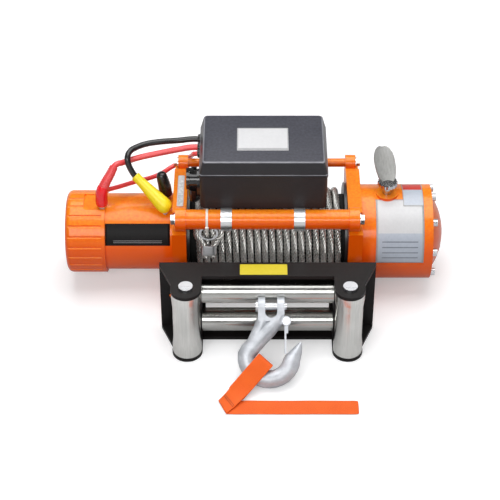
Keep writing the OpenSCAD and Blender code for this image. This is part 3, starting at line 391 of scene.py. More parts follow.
def makeLights():
    world = bpy.data.worlds.new("studio")
    bpy.context.scene.world = world
    world.use_nodes = True
    tree = world.node_tree
    back = tree.nodes["Background"].inputs
    feed(tree, back["Color"], (1, 1, 1))
    # reflections find a white surround near the horizon and a dimmer ceiling
    path = node(tree, "ShaderNodeLightPath").outputs
    height = partsOf(tree, node(tree, "ShaderNodeTexCoord").outputs["Generated"])[2]
    ceiling = remap(tree, height, *surround["horizon"], 1.0, surround["zenith"])
    mirrored = maths(tree, "MAXIMUM", path["Is Glossy Ray"], path["Is Transmission Ray"])
    inside = mixValues(tree, mirrored, surround["fill"], ceiling)
    feed(tree, back["Strength"], mixValues(tree, path["Is Camera Ray"], inside, 1.0))
    for name, lamp in lamps.items():
        data = bpy.data.lights.new(name, "AREA")
        data.shape = "RECTANGLE"
        data.size, data.size_y = lamp["size"]
        data.energy = lamp["power"]
        light = linked(name, data)
        light.location = lamp["place"]
        light.rotation_euler = (Vector(lamp["aim"]) - light.location).to_track_quat("-Z", "Y").to_euler()
        light.visible_diffuse = name != "gleam"
    bpy.context.scene.view_settings.view_transform = "Standard"


def makeFloor():
    bm = bmesh.new()
    bmesh.ops.create_grid(bm, x_segments=1, y_segments=1, size=ground["half"])
    floor = linked("floor", meshOf("floor", bm))
    mat, tree, shader, place = material("floorWhite", ground["roughness"], specular=ground["specular"])
    feed(tree, shader["Base Color"],
         mixTones(tree, seenRays(tree, ground["paleMirrored"]), ground["dark"], ground["pale"]))
    feed(tree, shader["Emission Color"], (1, 1, 1))
    # the floor stays white where the lamps no longer reach
    away = node(tree, "ShaderNodeVectorMath", {0: place}, operation="LENGTH").outputs["Value"]
    feed(tree, shader["Emission Strength"],
         product(tree, seenRays(tree, ground["glowMirrored"]), remap(tree, away, *ground["glow"])))
    floor.data.materials.append(mat)


makeCamera()
makeLights()
makeFloor()
print("camera, lights and floor made")


def paint(name, dark, light, roughness, coat, dust=0.05, coatRoughness=0.12, specular=0.5,
          film=(0.6, 0.58, 0.55)):
    # sprayed paint: slight clouding of the tone, orange peel, and a film on what looks up, which is thin dust, and
    # painted light where its tone is a lit copy of the paint
    mat, tree, shader, place = material(name, roughness, coat=coat, coatRoughness=coatRoughness,
                                         specular=specular)
    grain = useGroup(tree, grainGroup, place, fine=1500.0, cloud=10.0, share=0.75)
    # the film's mask: thin dust on up-facing faces, and painted light on the top where the film is strong
    dustAndLightMask = useGroup(tree, dustAndLitTopGroup, place, amount=dust)["Mask"]
    tone = mixTones(tree, dustAndLightMask, ramp(tree, grain["Tone"], dark, light), film)
    dress(tree, shader, tone, grain["Tone"], (roughness - 0.04, roughness + 0.06), grain["Height"],
          strength=0.25, distance=0.00006)
    return mat


def metal(name, dark, light, roughness, along=6.0, across=700.0, turn=(0, 0, 0), bumpSize=0.00003, spread=0.08,
          metallic=1.0):
    # bare or plated metal with fine tool lines
    mat, tree, shader, place = material(name, roughness, metallic=metallic)
    brushed = node(tree, "ShaderNodeMapping", {"Vector": place, "Rotation": turn}).outputs[0]
    lines = useGroup(tree, brushGroup, brushed, along=along, across=across)
    cloud = useGroup(tree, grainGroup, place, fine=500.0, cloud=22.0, share=0.8)
    both = mixValues(tree, 0.5, lines["Tone"], cloud["Tone"])
    dress(tree, shader, ramp(tree, both, dark, light), both, (roughness - spread, roughness + spread),
          lines["Height"], strength=0.3, distance=bumpSize)
    return mat


def moulded(name, dark, light, roughness, specular=0.5, fine=1200.0, bumpSize=0.00008, coat=0.0, dust=0.0,
            edge=None):
    # moulded plastic or rubber with a fine texture
    mat, tree, shader, place = material(name, roughness, coat=coat, specular=specular)
    grain = useGroup(tree, grainGroup, place, fine=fine, cloud=26.0, share=0.4)
    tone = ramp(tree, grain["Tone"], dark, light)
    # a bluish film on faces that look up: thin dust, and painted light on the top
    if dust:
        tone = mixTones(tree, useGroup(tree, dustAndLitTopGroup, place, amount=dust)["Mask"], tone, (0.30, 0.32, 0.45))
    # painted highlight: the edge colour on rounded edges that face half up
    if edge:
        tone = mixTones(tree, useGroup(tree, edgeHighlightGroup, place)["Mask"], tone, edge)
    dress(tree, shader, tone, grain["Tone"], (roughness - 0.05, roughness + 0.08), grain["Height"],
          strength=0.35, distance=bumpSize)
    return mat


def printed(name, dark, light, roughness, fine=300.0, bumpSize=0.00001, specular=0.5):
    # the smooth face of a label
    return moulded(name, dark, light, roughness, specular, fine, bumpSize)


# Blender numbers a name that a CAD material has already; the key goes without the number
finish = {mat.name.split(".")[0]: mat for mat in (
    # the orange paint's strong yellow film on faces that look up is painted light, a lit top, not dust
    paint("orangePaint", (0.84, 0.090, 0.001), (0.93, 0.125, 0.002), 0.36, 0.5, dust=1.0, coatRoughness=0.11,
          specular=0.12, film=(0.98, 0.38, 0.012)),
    paint("drumPaint", (0.012, 0.012, 0.013), (0.022, 0.021, 0.022), 0.35, 0.2),
    paint("blackGloss", (0.006, 0.005, 0.005), (0.012, 0.010, 0.010), 0.42, 0.06, dust=0.01, specular=0.15),
    metal("zincBolt", (0.50, 0.51, 0.53), (0.80, 0.81, 0.83), 0.28),
    metal("zincRoller", (0.36, 0.36, 0.345), (0.62, 0.615, 0.59), 0.25, along=5.0, across=1100.0, spread=0.05),
    metal("zincUpright", (0.52, 0.52, 0.50), (0.82, 0.82, 0.79), 0.24, turn=(0, math.pi / 2, 0), spread=0.05),
    metal("zincHook", (0.36, 0.38, 0.41), (0.70, 0.72, 0.76), 0.45, along=60.0, across=90.0, bumpSize=0.0005,
          spread=0.12, metallic=0.4),
    metal("chrome", (0.42, 0.42, 0.43), (0.70, 0.70, 0.71), 0.14, spread=0.04),
    metal("stainless", (0.62, 0.63, 0.65), (0.86, 0.87, 0.88), 0.36),
    metal("gearSteel", (0.30, 0.30, 0.31), (0.52, 0.52, 0.54), 0.35),
    metal("copper", (0.35, 0.13, 0.05), (0.62, 0.27, 0.11), 0.4),
    metal("leverMetal", (0.13, 0.13, 0.125), (0.29, 0.29, 0.28), 0.46, along=16.0, across=420.0,
          turn=(0, 0, math.pi / 2), bumpSize=0.0001, metallic=0.8),
    metal("ropeSteel", (0.46, 0.46, 0.44), (0.97, 0.96, 0.92), 0.28, along=500.0, across=900.0,
          bumpSize=0.00020, metallic=0.86),
    # near black: painted shade in the gaps between the rope's strands
    moulded("ropeGap", (0.006, 0.006, 0.006), (0.016, 0.016, 0.015), 0.7, specular=0.2),
    # its edge tone is a painted highlight, and its bluish top film is thin dust and painted light on the top
    moulded("boxPlastic", (0.015, 0.014, 0.017), (0.025, 0.024, 0.028), 0.34, dust=0.18, specular=0.4,
            edge=(0.26, 0.26, 0.29)),
    moulded("basePlastic", (0.018, 0.014, 0.015), (0.030, 0.024, 0.025), 0.46, dust=0.02, specular=0.3),
    moulded("blackPlastic", (0.005, 0.005, 0.005), (0.012, 0.012, 0.012), 0.20, coat=0.6),
    moulded("blackRubber", (0.006, 0.006, 0.006), (0.014, 0.014, 0.015), 0.28, coat=0.3),
    moulded("redRubber", (0.74, 0.045, 0.048), (0.88, 0.085, 0.088), 0.30, fine=700.0, coat=0.3),
    moulded("redBoot", (0.86, 0.008, 0.016), (0.97, 0.018, 0.030), 0.22, fine=700.0, coat=0.4),
    moulded("yellowRubber", (0.93, 0.70, 0.006), (0.97, 0.80, 0.014), 0.34, fine=700.0),
    moulded("threadDark", (0.14, 0.02, 0.008), (0.22, 0.04, 0.015), 0.6, fine=900.0),
    moulded("nylonTie", (0.78, 0.72, 0.66), (0.86, 0.80, 0.74), 0.35, fine=400.0),
    printed("whiteLabel", (0.57, 0.57, 0.58), (0.62, 0.62, 0.63), 0.34, specular=0.3),
    printed("greyLabel", (0.34, 0.34, 0.35), (0.42, 0.42, 0.43), 0.35),
    printed("stripLabel", (0.40, 0.40, 0.41), (0.92, 0.92, 0.93), 0.34, fine=260.0),
    printed("blueLabel", (0.40, 0.44, 0.51), (0.47, 0.51, 0.58), 0.32),
    printed("blackLabel", (0.006, 0.006, 0.006), (0.012, 0.010, 0.010), 0.45, bumpSize=0.000004, specular=0.12),
    printed("ruleLabel", (0.16, 0.18, 0.22), (0.22, 0.24, 0.28), 0.34),
    printed("redLabel", (0.55, 0.03, 0.02), (0.68, 0.05, 0.03), 0.3),
    printed("yellowLabel", (0.64, 0.52, 0.007), (0.70, 0.58, 0.015), 0.32),
)}
# other slots take the finish with their own name
slotFinish = dict(copper_winding="copper", black_gloss_paint="blackGloss", orange_webbing="orangePaint",
                  steel_rope="ropeSteel")
ownFinish = dict(left_roller="zincUpright", right_roller="zincUpright", control_box_base="basePlastic",
                 rope_core="ropeGap", socket_cap="blackPlastic")
rounding = dict(weld=0.000005, angle=32)


def makeRoundingGroup():
    # welds loose triangles and shades edges flatter than the angle as one round surface
    group = bpy.data.node_groups.new("weldAndRound", "GeometryNodeTree")
    for way in ("INPUT", "OUTPUT"):
        group.interface.new_socket("Geometry", in_out=way, socket_type="NodeSocketGeometry")
    given, out = group.nodes.new("NodeGroupInput"), group.nodes.new("NodeGroupOutput")
    weld = node(group, "GeometryNodeMergeByDistance",
                {"Geometry": given.outputs[0], "Distance": rounding["weld"]}).outputs[0]
    angle = node(group, "GeometryNodeInputMeshEdgeAngle").outputs["Unsigned Angle"]
    flat = maths(group, "LESS_THAN", angle, math.radians(rounding["angle"]))
    faces = node(group, "GeometryNodeSetShadeSmooth", {"Geometry": weld}).outputs[0]
    edges = node(group, "GeometryNodeSetShadeSmooth", {"Geometry": faces, "Shade Smooth": flat}, domain="EDGE")
    feed(group, out.inputs[0], edges.outputs[0])
    return group


def nodeFinish(name, slot):
    first, *rest = slot.split("_")
    return finish[ownFinish.get(name) or slotFinish.get(slot) or first + "".join(word.title() for word in rest)]


def dressNodes():
    roundingGroup = makeRoundingGroup()
    slots = {part["node"]: part["material_slot"] for part in frame["record"]["subparts"]}
    for name, obj in frame["nodes"].items():
        mat = nodeFinish(name, slots[name])
        if obj.material_slots:
            for slot in obj.material_slots:
                slot.material = mat
        else:
            obj.data.materials.append(mat)
        addModifier(obj, "NODES", node_group=roundingGroup)


dressNodes()
print("materials made")


rope = dict(radius=0.00475, strands=6, lay=0.036, turns=20, pitch=0.010, coil=0.05725, stepsPerTurn=72,
            drift=dict(size=0.00014, quick=0.31, slow=0.07, start=1.0), strandShare=0.285, heartShare=0.62)


def strandLines(path, radius, strandRadius):
    # strands that twist round a path; the side vector is carried along it
    count = rope["strands"]
    lines = [[] for _ in range(count)]
    along = (path[1] - path[0]).normalized()
    side = along.cross(Vector((0, 0, 1)) if abs(along.z) < 0.9 else Vector((0, 1, 0))).normalized()
    travelled = 0.0
    for i, point in enumerate(path):
        along = (path[min(i + 1, len(path) - 1)] - path[max(i - 1, 0)]).normalized()
        side = (side - along * side.dot(along)).normalized()
        other = along.cross(side)
        if i:
            travelled += (point - path[i - 1]).length
        for k in range(count):
            turn = 2 * math.pi * (travelled / rope["lay"] + k / count)
            lines[k].append(point + (radius - strandRadius) * (math.cos(turn) * side + math.sin(turn) * other))
    return lines


def woundPath():
    # an even winding whose turns wander a little sideways
    points, d = [], rope["drift"]
    for i in range(rope["turns"] * rope["stepsPerTurn"] + 1):
        turn = i / rope["stepsPerTurn"]
        angle = 2 * math.pi * turn
        drift = d["size"] * math.sin(angle * d["quick"] + d["start"]) * math.sin(angle * d["slow"])
        points.append(Vector(((turn - rope["turns"] / 2) * rope["pitch"] + drift,
                              rope["coil"] * math.sin(angle), drumAxis.z - rope["coil"] * math.cos(angle))))
    return points


def makeWoundRope():
    path = woundPath()
    strandRadius = rope["radius"] * rope["strandShare"]
    lines = strandLines(path, rope["radius"], strandRadius)
    strands = curvePiece("woundRopeStrands", lines, strandRadius, 1, "ropeSteel", body="drum")
    # the heart's near-black finish is painted shade between the strands
    heart = curvePiece("woundRopeHeart", [path[::2]], rope["radius"] * rope["heartShare"], 1, "ropeGap", body="drum")
    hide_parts("wound_rope")


eye = dict(turn=23, x=-80, reach=68.05, ring=13.4, wide=16.6, drop=17.2, leg=4.9, neck=-8, ends=(1.35, 1.3),
           arc=(225, 270, 12), radius=4.6, strandShare=0.29, heartShare=0.6)
pressed = dict(profile=[(0, -14.0), (5.2, -14.0), (5.9, -13.4), (6.0, -12.0), (6.0, -2.0), (5.9, -0.6), (5.2, 0.0),
                        (0, 0)], steps=40, widen=4.6)
thimble = dict(outer=8.7, wall=1.1, half=3.4, lip=1.0, slope=0.8, steps=48)


def makeRopeEye():
    place = (Matrix.Translation(drumAxis) @ turned(-eye["turn"], "X") @ moved(eye["x"], -eye["reach"], 0)
             @ turned(90, "X"))
    ring, drop, leg, radius = eye["ring"], eye["drop"], eye["leg"], eye["radius"] / 1000
    start, sweep, steps = eye["arc"]
    corners = [(-leg, -ring * eye["ends"][0]), (-leg, eye["neck"])]
    for k in range(steps + 1):
        c, s = onCircle(start - sweep * k / steps)
        corners.append((eye["wide"] * c, drop + ring * s))
    corners += [(leg, eye["neck"]), (leg, -ring * eye["ends"][1])]
    path = curvePath([mm(x, y, 0) for x, y in corners])
    strandRadius = radius * eye["strandShare"]
    lines = strandLines(path, radius, strandRadius)
    loop = curvePiece("ropeEyeStrands", [[place @ p for p in line] for line in lines], strandRadius, 2,
                      "ropeSteel", body="drum")
    heart = curvePiece("ropeEyeHeart", [[place @ p for p in path]], radius * eye["heartShare"], 2, "ropeGap",
                       body="drum")
    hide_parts("rope_eye")
    # pressed sleeve: a tube with rounded mouths, widened to an oval
    bm = bmesh.new()
    latheInto(bm, pressed["profile"], pressed["steps"], turned(-90, "X"))
    for v in bm.verts:
        if abs(v.co.x) > 1e-6:
            v.co.x += math.copysign(min(abs(v.co.x) * 2, pressed["widen"] / 1000), v.co.x)
    bmesh.ops.transform(bm, matrix=place, verts=bm.verts[:])
    sleeve = meshPiece("ropeSleeve", bm, ["stainless"], 35, "drum")
    # thimble: a channel whose lips hold the rope
    outer, wall, half, slope = thimble["outer"], thimble["wall"], thimble["half"], thimble["slope"]
    lip = outer + thimble["lip"]
    channel = [(outer - wall, -half), (lip, -half), (lip, -half + wall), (outer, -half + wall + slope),
               (outer, half - wall - slope), (lip, half - wall), (lip, half), (outer - wall, half),
               (outer - wall, -half)]
    ringPiece = lathe("ropeThimble", channel, place @ moved(0, drop, 0), "zincBolt", thimble["steps"],
                      "drum", stretch=(eye["wide"] - eye["radius"]) / (ring - eye["radius"]))
    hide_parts("rope_thimble")


cableTie = dict(x=-81.5, bar=(-63.4, 148.0), inner=13.75, thick=1.1, width=3.2, edge=(0.3, 0.5), turn=12,
                steps=56, head=4.6, lock=(-2.2, 0.5), tail=(-1.9, -0.8), length=14, overlap=0.4)


def makeCableTie():
    # a nylon tie round the front bar, with its lock and cut tail
    inner, half, (skew, flat) = cableTie["inner"], cableTie["width"] / 2, cableTie["edge"]
    outer = inner + cableTie["thick"]
    band = [(inner, -half), (outer - skew, -half), (outer, -half + flat), (outer, half - flat),
            (outer - skew, half), (inner, half), (inner, -half)]
    middle = moved(cableTie["x"], *cableTie["bar"])
    bm = bmesh.new()
    latheInto(bm, band, cableTie["steps"])
    bmesh.ops.transform(bm, matrix=middle @ turned(90, "Y"), verts=bm.verts[:])
    # the lock sits in front and low, the tail hangs from it
    front = middle @ turned(cableTie["turn"], "X") @ moved(0, -outer, 0)
    head, lock, tail = cableTie["head"] / 2, cableTie["lock"], cableTie["tail"]
    boxInto(bm, mm(-head, lock[0], -head), mm(head, lock[1], head), front, bevel=(0.6, 2))
    boxInto(bm, mm(-half, tail[0], -cableTie["length"]), mm(half, tail[1], -head + cableTie["overlap"]), front,
            bevel=(0.3, 1))
    tie = meshPiece("cableTie", bm, ["nylonTie"], 35)


makeWoundRope()
makeRopeEye()
makeCableTie()
print("rope made")


leads = {
    "blackLead": dict(node="black_lead", radius=4.1, finish="blackRubber", slot="black_rubber", route=[
        (-91, 47, 201), (-103, 47, 201), (-123, 45, 200), (-147, 40, 201.5), (-165, 35.5, 201.5), (-179, 28, 201),
        (-187.5, 19, 200.5), (-190.5, 11, 197), (-189.5, 6.5, 189.5), (-186, 3.5, 181), (-181, 2, 172),
        (-174.7, -1.5, 166.6)]),
    "thickRedLead": dict(node="thick_red_lead", radius=4.1, finish="redRubber", slot="red_rubber", route=[
        (-91, 28, 201), (-103, 28, 201), (-122, 27, 198), (-153, 25, 192), (-173, 22.5, 188.5),
        (-187, 18.5, 186.5), (-198, 12.5, 186.5), (-205, 7, 188), (-209, 4, 186), (-213, -0.1, 179.1)]),
    "thinRedLead": dict(node="thin_red_lead", radius=3.2, finish="redRubber", slot="red_rubber", route=[
        (-91, 14, 201), (-97.5, 14.5, 200), (-100.5, 20, 195.5), (-101.5, 34, 185.5), (-102, 50, 173),
        (-103.8, 66, 160), (-107.5, 80, 146.5), (-117, 84, 136.5), (-132, 79.5, 130), (-153, 58.5, 130),
        (-184, 31, 139), (-206, 9, 147), (-217, -2, 151.5), (-223, -8.5, 154)]),
}
grommet = [(0.2, -1.0), (2.8, -1.0), (3.2, 1.5), (2.2, 4.0), (0.2, 4.6), (0.2, -1.0)]  # past the lead's radius


def makeLeads():
    for name, lead in leads.items():
        route, radius = [mm(*p) for p in lead["route"]], lead["radius"]
        piece = curvePiece(name, [route], radius / 1000, 5, lead["finish"], smoothRoute=True)
        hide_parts(lead["node"])
        # grommet in the box's wall
        collar = lathe(name + "Grommet", [(radius + past, h) for past, h in grommet], aimed(route[0], (-1, 0, 0)),
                       "blackRubber", steps=28)


# profiles hold (distance along the path, radius)
boots = {
    "blackBoot": dict(node="black_boot", slot="black_rubber", finish="blackRubber",
                      path=[(-140, 8, 133.7), (-141, 8.5, 146), (-144.5, 10, 163.5), (-145.8, 10.5, 171)],
                      profile=[(0, 7.2), (1.2, 8.6), (3, 9.0), (14, 8.8), (24, 8.1), (31, 7.5), (34, 6.9),
                               (36.4, 5.6), (37.8, 3.6), (38.4, 1.0)]),
    "yellowBoot": dict(node="yellow_boot", slot="yellow_rubber", finish="yellowRubber",
                       path=[(-134.2, -24.3, 131.7), (-140, -21, 136.7), (-160.5, -9.5, 154.4), (-181, 2, 172)],
                       profile=[(0, 3.4), (1.2, 6.4), (3.4, 8.8), (6.8, 10.4), (11, 10.9), (18, 10.5), (28, 9.4),
                                (40, 8.1), (50, 7.1), (58, 6.5), (62, 6.3), (64.5, 6.8), (66.4, 6.5), (67, 4.3)]),
    "redBoot": dict(node="red_boot", slot="red_rubber", finish="redBoot",
                    path=[(-227, -13.5, 133.5), (-227, -13.5, 146), (-226.4, -12.9, 155), (-223.5, -10.2, 163)],
                    profile=[(0, 6.2), (1.2, 7.9), (3.0, 8.5), (9, 8.5), (18, 8.3), (22, 8.1), (26, 7.9),
                             (30, 7.3)]),
}
bootSleeve = dict(path=[(-225.2, -11.8, 158.5), (-221, -7.8, 167), (-214.6, -1.4, 176.4), (-209, 4, 186)],
                  ribs=12, rib=0.35, foot=7.4, top=5.6)


def taperedTube(name, path, radii, mat, body="frame"):
    # a round tube whose radius changes along its path, radii as (distance, radius) in millimetres
    points = curvePath([mm(*p) for p in path])
    spots = [0.0]
    for before, point in zip(points, points[1:]):
        spots.append(spots[-1] + (point - before).length * 1000)
    knots = []
    for distance, radius in radii:
        at = min(distance, spots[-1])
        k = next((i for i in range(1, len(spots)) if spots[i] >= at - 1e-6), len(spots) - 1)
        share = (at - spots[k - 1]) / max(spots[k] - spots[k - 1], 1e-6)
        knots.append(points[k - 1].lerp(points[k], share))
    curve = newCurve(name + "Line", 1.0, 14)
    polyLine(curve, knots, [radius / 1000 for distance, radius in radii])
    piece = smoothPiece(name, bakedMesh(curve), mat)
    piece.data.set_sharp_from_angle(angle=math.radians(60))
    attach(piece, body)
    return piece


def makeBoots():
    for name, boot in boots.items():
        piece = taperedTube(name, boot["path"], boot["profile"], boot["finish"])
        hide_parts(boot["node"])
    # ribbed sleeve between the red boot and its lead, four steps to a rib
    path, foot, top = bootSleeve["path"], bootSleeve["foot"], bootSleeve["top"]
    length = sum((mm(*b) - mm(*a)).length for a, b in zip(path, path[1:])) * 1000
    steps = bootSleeve["ribs"] * 4
    radii = [(i / steps * length, foot + (top - foot) * i / steps + bootSleeve["rib"] * math.sin(math.pi * i / 2))
             for i in range(steps + 1)]
    sleeve = taperedTube("redBootSleeve", path, radii, "redRubber")


makeLeads()
makeBoots()
print("leads and boots made")


lever = dict(x=165, stem=6.5, bore=4.3, pinRise=5.3, collar=(157.7, 7, 13.2), edge=(1.4, 1.0, 1.2),
             cap=(1.5, 0.2, 0.6), steps=96, ribs=16, ribbed=1.5, ribDepth=0.035, rise=11, turn=5, thick=4.0,
             lift=1.0, fold=12, bend=0.30, dish=1.2, grid=(14, 40), bevel=0.0006,
             outline=[(-3.6, 4.4), (-3.0, 6.6), (-0.6, 9.0), (4.0, 11.0), (10.0, 12.6), (18.0, 13.8), (30.0, 14.3),
                      (40.0, 14.1), (48.0, 12.7), (54.5, 10.2), (58.6, 7.2), (60.6, 3.6)])


def leverWidth(t):
    # the distance along the paddle and half its width there, at a share of its outline
    points = lever["outline"]
    at = t * (len(points) - 1)
    i = min(int(at), len(points) - 2)
    return [a + (b - a) * (at - i) for a, b in zip(points[i], points[i + 1])]


def makeLever():
    # stem and ribbed collar turned in one, then the pressed paddle with its fold, all in millimetres
    bm = bmesh.new()
    z, h, r = lever["collar"]
    stem, bore, thick = lever["stem"], lever["bore"], lever["thick"]
    under, low, high = lever["edge"]
    capWide, capRise, peak = lever["cap"]
    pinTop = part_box("shift_pin")[1].z * 1000 + lever["pinRise"]  # the bore's end, clear of the pin
    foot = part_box("clutch_lever")[0].z * 1000
    latheInto(bm, [(0, pinTop), (bore, pinTop), (bore, foot), (stem, foot), (stem, z), (r - under, z), (r, z + low),
                   (r, z + h - high), (r - high, z + h), (stem + capWide, z + h + capRise), (0, z + h + peak)],
              lever["steps"], unit=1)
    for v in bm.verts:
        out = Vector((v.co.x, v.co.y))
        if out.length > r - lever["ribbed"]:
            v.co.xy = out * (1 + lever["ribDepth"] * math.cos(lever["ribs"] * math.atan2(out.y, out.x)))
    hub = set(bm.faces)
    across, down = lever["grid"]
    for v in bmesh.ops.create_grid(bm, x_segments=across, y_segments=down, size=0.5)["verts"]:
        along, half = leverWidth(v.co.y + 0.5)
        u = v.co.x * 2
        drop = lever["bend"] * max(0.0, lever["fold"] - along) + lever["dish"] * (1 - u * u)
        v.co = Vector((u * half, along, thick + lever["lift"] - drop))
    bmesh.ops.solidify(bm, geom=[f for f in bm.faces if f not in hub], thickness=thick)
    paddle = [f for f in bm.faces if f not in hub]
    for f in paddle:
        f.material_index = 1
    tilt = Matrix.Translation((0, 0, z + h)) @ turned(lever["turn"], "Z") @ turned(lever["rise"], "X")
    bmesh.ops.transform(bm, matrix=tilt, verts=list({v for f in paddle for v in f.verts}))
    bmesh.ops.transform(bm, matrix=moved(lever["x"], 0, 0) @ Matrix.Scale(0.001, 4), verts=bm.verts[:])
    piece = meshPiece("clutchLever", bm, ["chrome", "leverMetal"], 40, "lever")
    addModifier(piece, "BEVEL", width=lever["bevel"], segments=2, limit_method="ANGLE",
                angle_limit=math.radians(50))
    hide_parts("clutch_lever")


makeLever()
print("lever made")


lid = dict(low=210.0, high=234.5, x=(-91, 80), y=(-52, 62), corner=4.6, lean=4.7, front=1.5, fillet=2.7, foot=4.9,
           rim=[(0.1, 0.5), (0.5, 0.7), (3.4, 0.7), (4.0, 0.4), (4.4, 0.0)], wall=3.0)


def makeLid():
    # a shell with a rolled rim, walls that lean in and a rounded top edge
    bm = bmesh.new()
    (x0, x1), (y0, y1), fillet, foot = lid["x"], lid["y"], lid["fillet"], lid["foot"]
    midX, midY, height = (x0 + x1) / 2, (y0 + y1) / 2, lid["high"] - lid["low"]
    bmesh.ops.create_grid(bm, x_segments=1, y_segments=1, size=0.5)
    for v in bm.verts:
        v.co = mm(midX + v.co.x * (x1 - x0), midY + v.co.y * (y1 - y0), lid["low"])
    bmesh.ops.bevel(bm, geom=bm.verts[:], offset=lid["corner"] / 1000 * 0.999, offset_type="OFFSET", segments=10,
                    profile=0.5, affect="VERTICES", material=-1)
    # heights above the seam, each with how far the wall stands out there
    levels = lid["rim"] + [(foot, 0.0)]
    for c, s in map(onCircle, range(0, 91, 15)):
        levels.append((height - fillet * (1 - s), -fillet * (1 - c)))
    edge = bm.edges[:]
    home = {v: v.co.copy() for v in bm.verts}
    bmesh.ops.delete(bm, geom=bm.faces[:], context="FACES_ONLY")
    for h, out in levels:
        grown = bmesh.ops.extrude_edge_only(bm, edges=edge)["geom"]
        fresh = [g for g in grown if isinstance(g, bmesh.types.BMVert)]
        # each new vertex still stands where its old one is
        old = {v: next(u for u in {w for e in v.link_edges for w in e.verts} if u in home) for v in fresh}
        home = {v: home[old[v]] for v in fresh}
        share = max(0.0, (h - foot) / (height - foot))
        for v, at in home.items():
            sideX, sideY = (1 if at.x * 1000 > midX else -1), (1 if at.y * 1000 > midY else -1)
            leanX, leanY = lid["lean"] * share, (lid["front"] if sideY < 0 else lid["lean"]) * share
            v.co = mm(at.x * 1000 - sideX * (leanX - out), at.y * 1000 - sideY * (leanY - out), lid["low"] + h)
        edge = [e for e in bm.edges if e.verts[0] in home and e.verts[1] in home]
    bmesh.ops.contextual_create(bm, geom=edge)
    piece = meshPiece("boxLid", bm, ["boxPlastic"], 30)
    addModifier(piece, "SOLIDIFY", thickness=lid["wall"] / 1000, offset=-1)
    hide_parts("control_box_lid")


def roundedSlab(name, low, high, corner, mats, inset=None, strip=None):
    # a thin flat plate with rounded corners; inside the inset it has the second finish, but not in
    # front of the strip's Y
    bm = bmesh.new()
    boxInto(bm, mm(*low), mm(*high))
    upright = [e for e in bm.edges if abs((e.verts[0].co - e.verts[1].co).normalized().z) > 0.9]
    bevelEdges(bm, upright, corner, 5)
    if inset:
        inner = [f for f in bm.faces if f.normal.z > 0.9]
        bmesh.ops.inset_region(bm, faces=inner, thickness=inset / 1000, depth=0)
        for f in inner:
            f.material_index = 1
    if strip:
        around = list({v for f in inner for v in f.verts}) + list({e for f in inner for e in f.edges}) + inner
        bmesh.ops.bisect_plane(bm, geom=around, plane_co=mm(0, strip, 0), plane_no=(0, 1, 0))
        for f in bm.faces:
            if f.material_index == 1 and f.calc_center_median().y < strip / 1000:
                f.material_index = 0
    return meshPiece(name, bm, mats)


wrapped = dict(columns=24, rows=60, thick=0.0004)


def wrapPlate(name, mats, bands):
    # a plate rolled on to a cylinder about the drum's axis, angles up from the front; bands gives
    # the finish of a face from its shares of the width and height
    plate = plates[name]
    (x0, x1), (a0, a1), radius = plate["x"], plate["turn"], plate["radius"]
    bm = bmesh.new()
    bmesh.ops.create_grid(bm, x_segments=wrapped["columns"], y_segments=wrapped["rows"], size=0.5)
    for v in bm.verts:
        a = math.radians(a0 + (v.co.y + 0.5) * (a1 - a0))
        v.co = Vector((x0 + (v.co.x + 0.5) * (x1 - x0), -radius * math.cos(a), drumAxis.z + radius * math.sin(a)))
    for f in bm.faces:
        c = f.calc_center_median()
        a = math.degrees(math.atan2(c.z - drumAxis.z, -c.y))
        f.material_index = bands((c.x - x0) / (x1 - x0), (a - a0) / (a1 - a0))
    piece = meshPiece(name, bm, mats, 35)
    addModifier(piece, "SOLIDIFY", thickness=wrapped["thick"], offset=0)
    return piece


plates = dict(
    boxLabel=dict(low=(-41, -25), high=(28, 26), sunk=0.1, rise=0.5, corner=1.2, rim=1.6, strip=-19.5),
    motorPlate=dict(x=(-0.2225, -0.1335), turn=(17, 50), radius=0.0535, rows=(8, 13), ruled=(0.12, 0.88)),
    gearPlate=dict(x=(0.1488, 0.2145), turn=(-2, 80), radius=0.06605, rim=(0.035, 0.965, 0.02, 0.98), middle=0.47,
                   every=5, ruled=(0.12, 0.88, 0.08, 0.42)),
    smallPlate=dict(x=(0.1865, 0.2145), turn=(70, 115), radius=0.06665, rim=(0.06, 0.94, 0.04, 0.97), band=0.62),
    webStrip=dict(low=(-123.5, -33, 145.9), high=(-114.5, 36, 146.5), corner=2.2, rim=1.2),
    fairleadLabel=dict(low=(-37, -138.5), high=(26, -117.5), sunk=0.05, rise=0.4, corner=1.0),
)


def within(u, v, area):
    return area[0] < u < area[1] and area[2] < v < area[3]


def motorFace(u, v):
    # dark, with two pale rules
    m = plates["motorPlate"]
    return 1 if m["ruled"][0] < u < m["ruled"][1] and int(v * wrapped["rows"]) in m["rows"] else 0


def gearFace(u, v):
    # border, white upper half, blue-grey lower half with ruled lines
    g = plates["gearPlate"]
    if not within(u, v, g["rim"]):
        return 0
    if v > g["middle"]:
        return 1
    return 3 if int(v * wrapped["rows"]) % g["every"] == 0 and within(u, v, g["ruled"]) else 2


def smallFace(u, v):
    # border, red above, blue-grey below
    s = plates["smallPlate"]
    if not within(u, v, s["rim"]):
        return 0
    return 1 if v > s["band"] else 2


def makePlates():
    p = plates["boxLabel"]
    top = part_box("control_box_lid")[1].z * 1000
    label = roundedSlab("boxLabel", (*p["low"], top - p["sunk"]), (*p["high"], top + p["rise"]), p["corner"],
                        ["greyLabel", "whiteLabel"], inset=p["rim"], strip=p["strip"])
    motor = wrapPlate("motorPlate", ("blackLabel", "greyLabel"), motorFace)
    gear = wrapPlate("gearPlate", ("greyLabel", "whiteLabel", "blueLabel", "ruleLabel"), gearFace)
    small = wrapPlate("smallPlate", ("greyLabel", "redLabel", "blueLabel"), smallFace)
    w = plates["webStrip"]
    strip = roundedSlab("webStrip", w["low"], w["high"], w["corner"], ["whiteLabel", "stripLabel"], inset=w["rim"])
    f = plates["fairleadLabel"]
    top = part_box("fairlead_frame")[1].z * 1000
    yellow = roundedSlab("fairleadLabel", (*f["low"], top - f["sunk"]), (*f["high"], top + f["rise"]), f["corner"],
                         ["yellowLabel"])


makeLid()
makePlates()
print("lid and plates made")


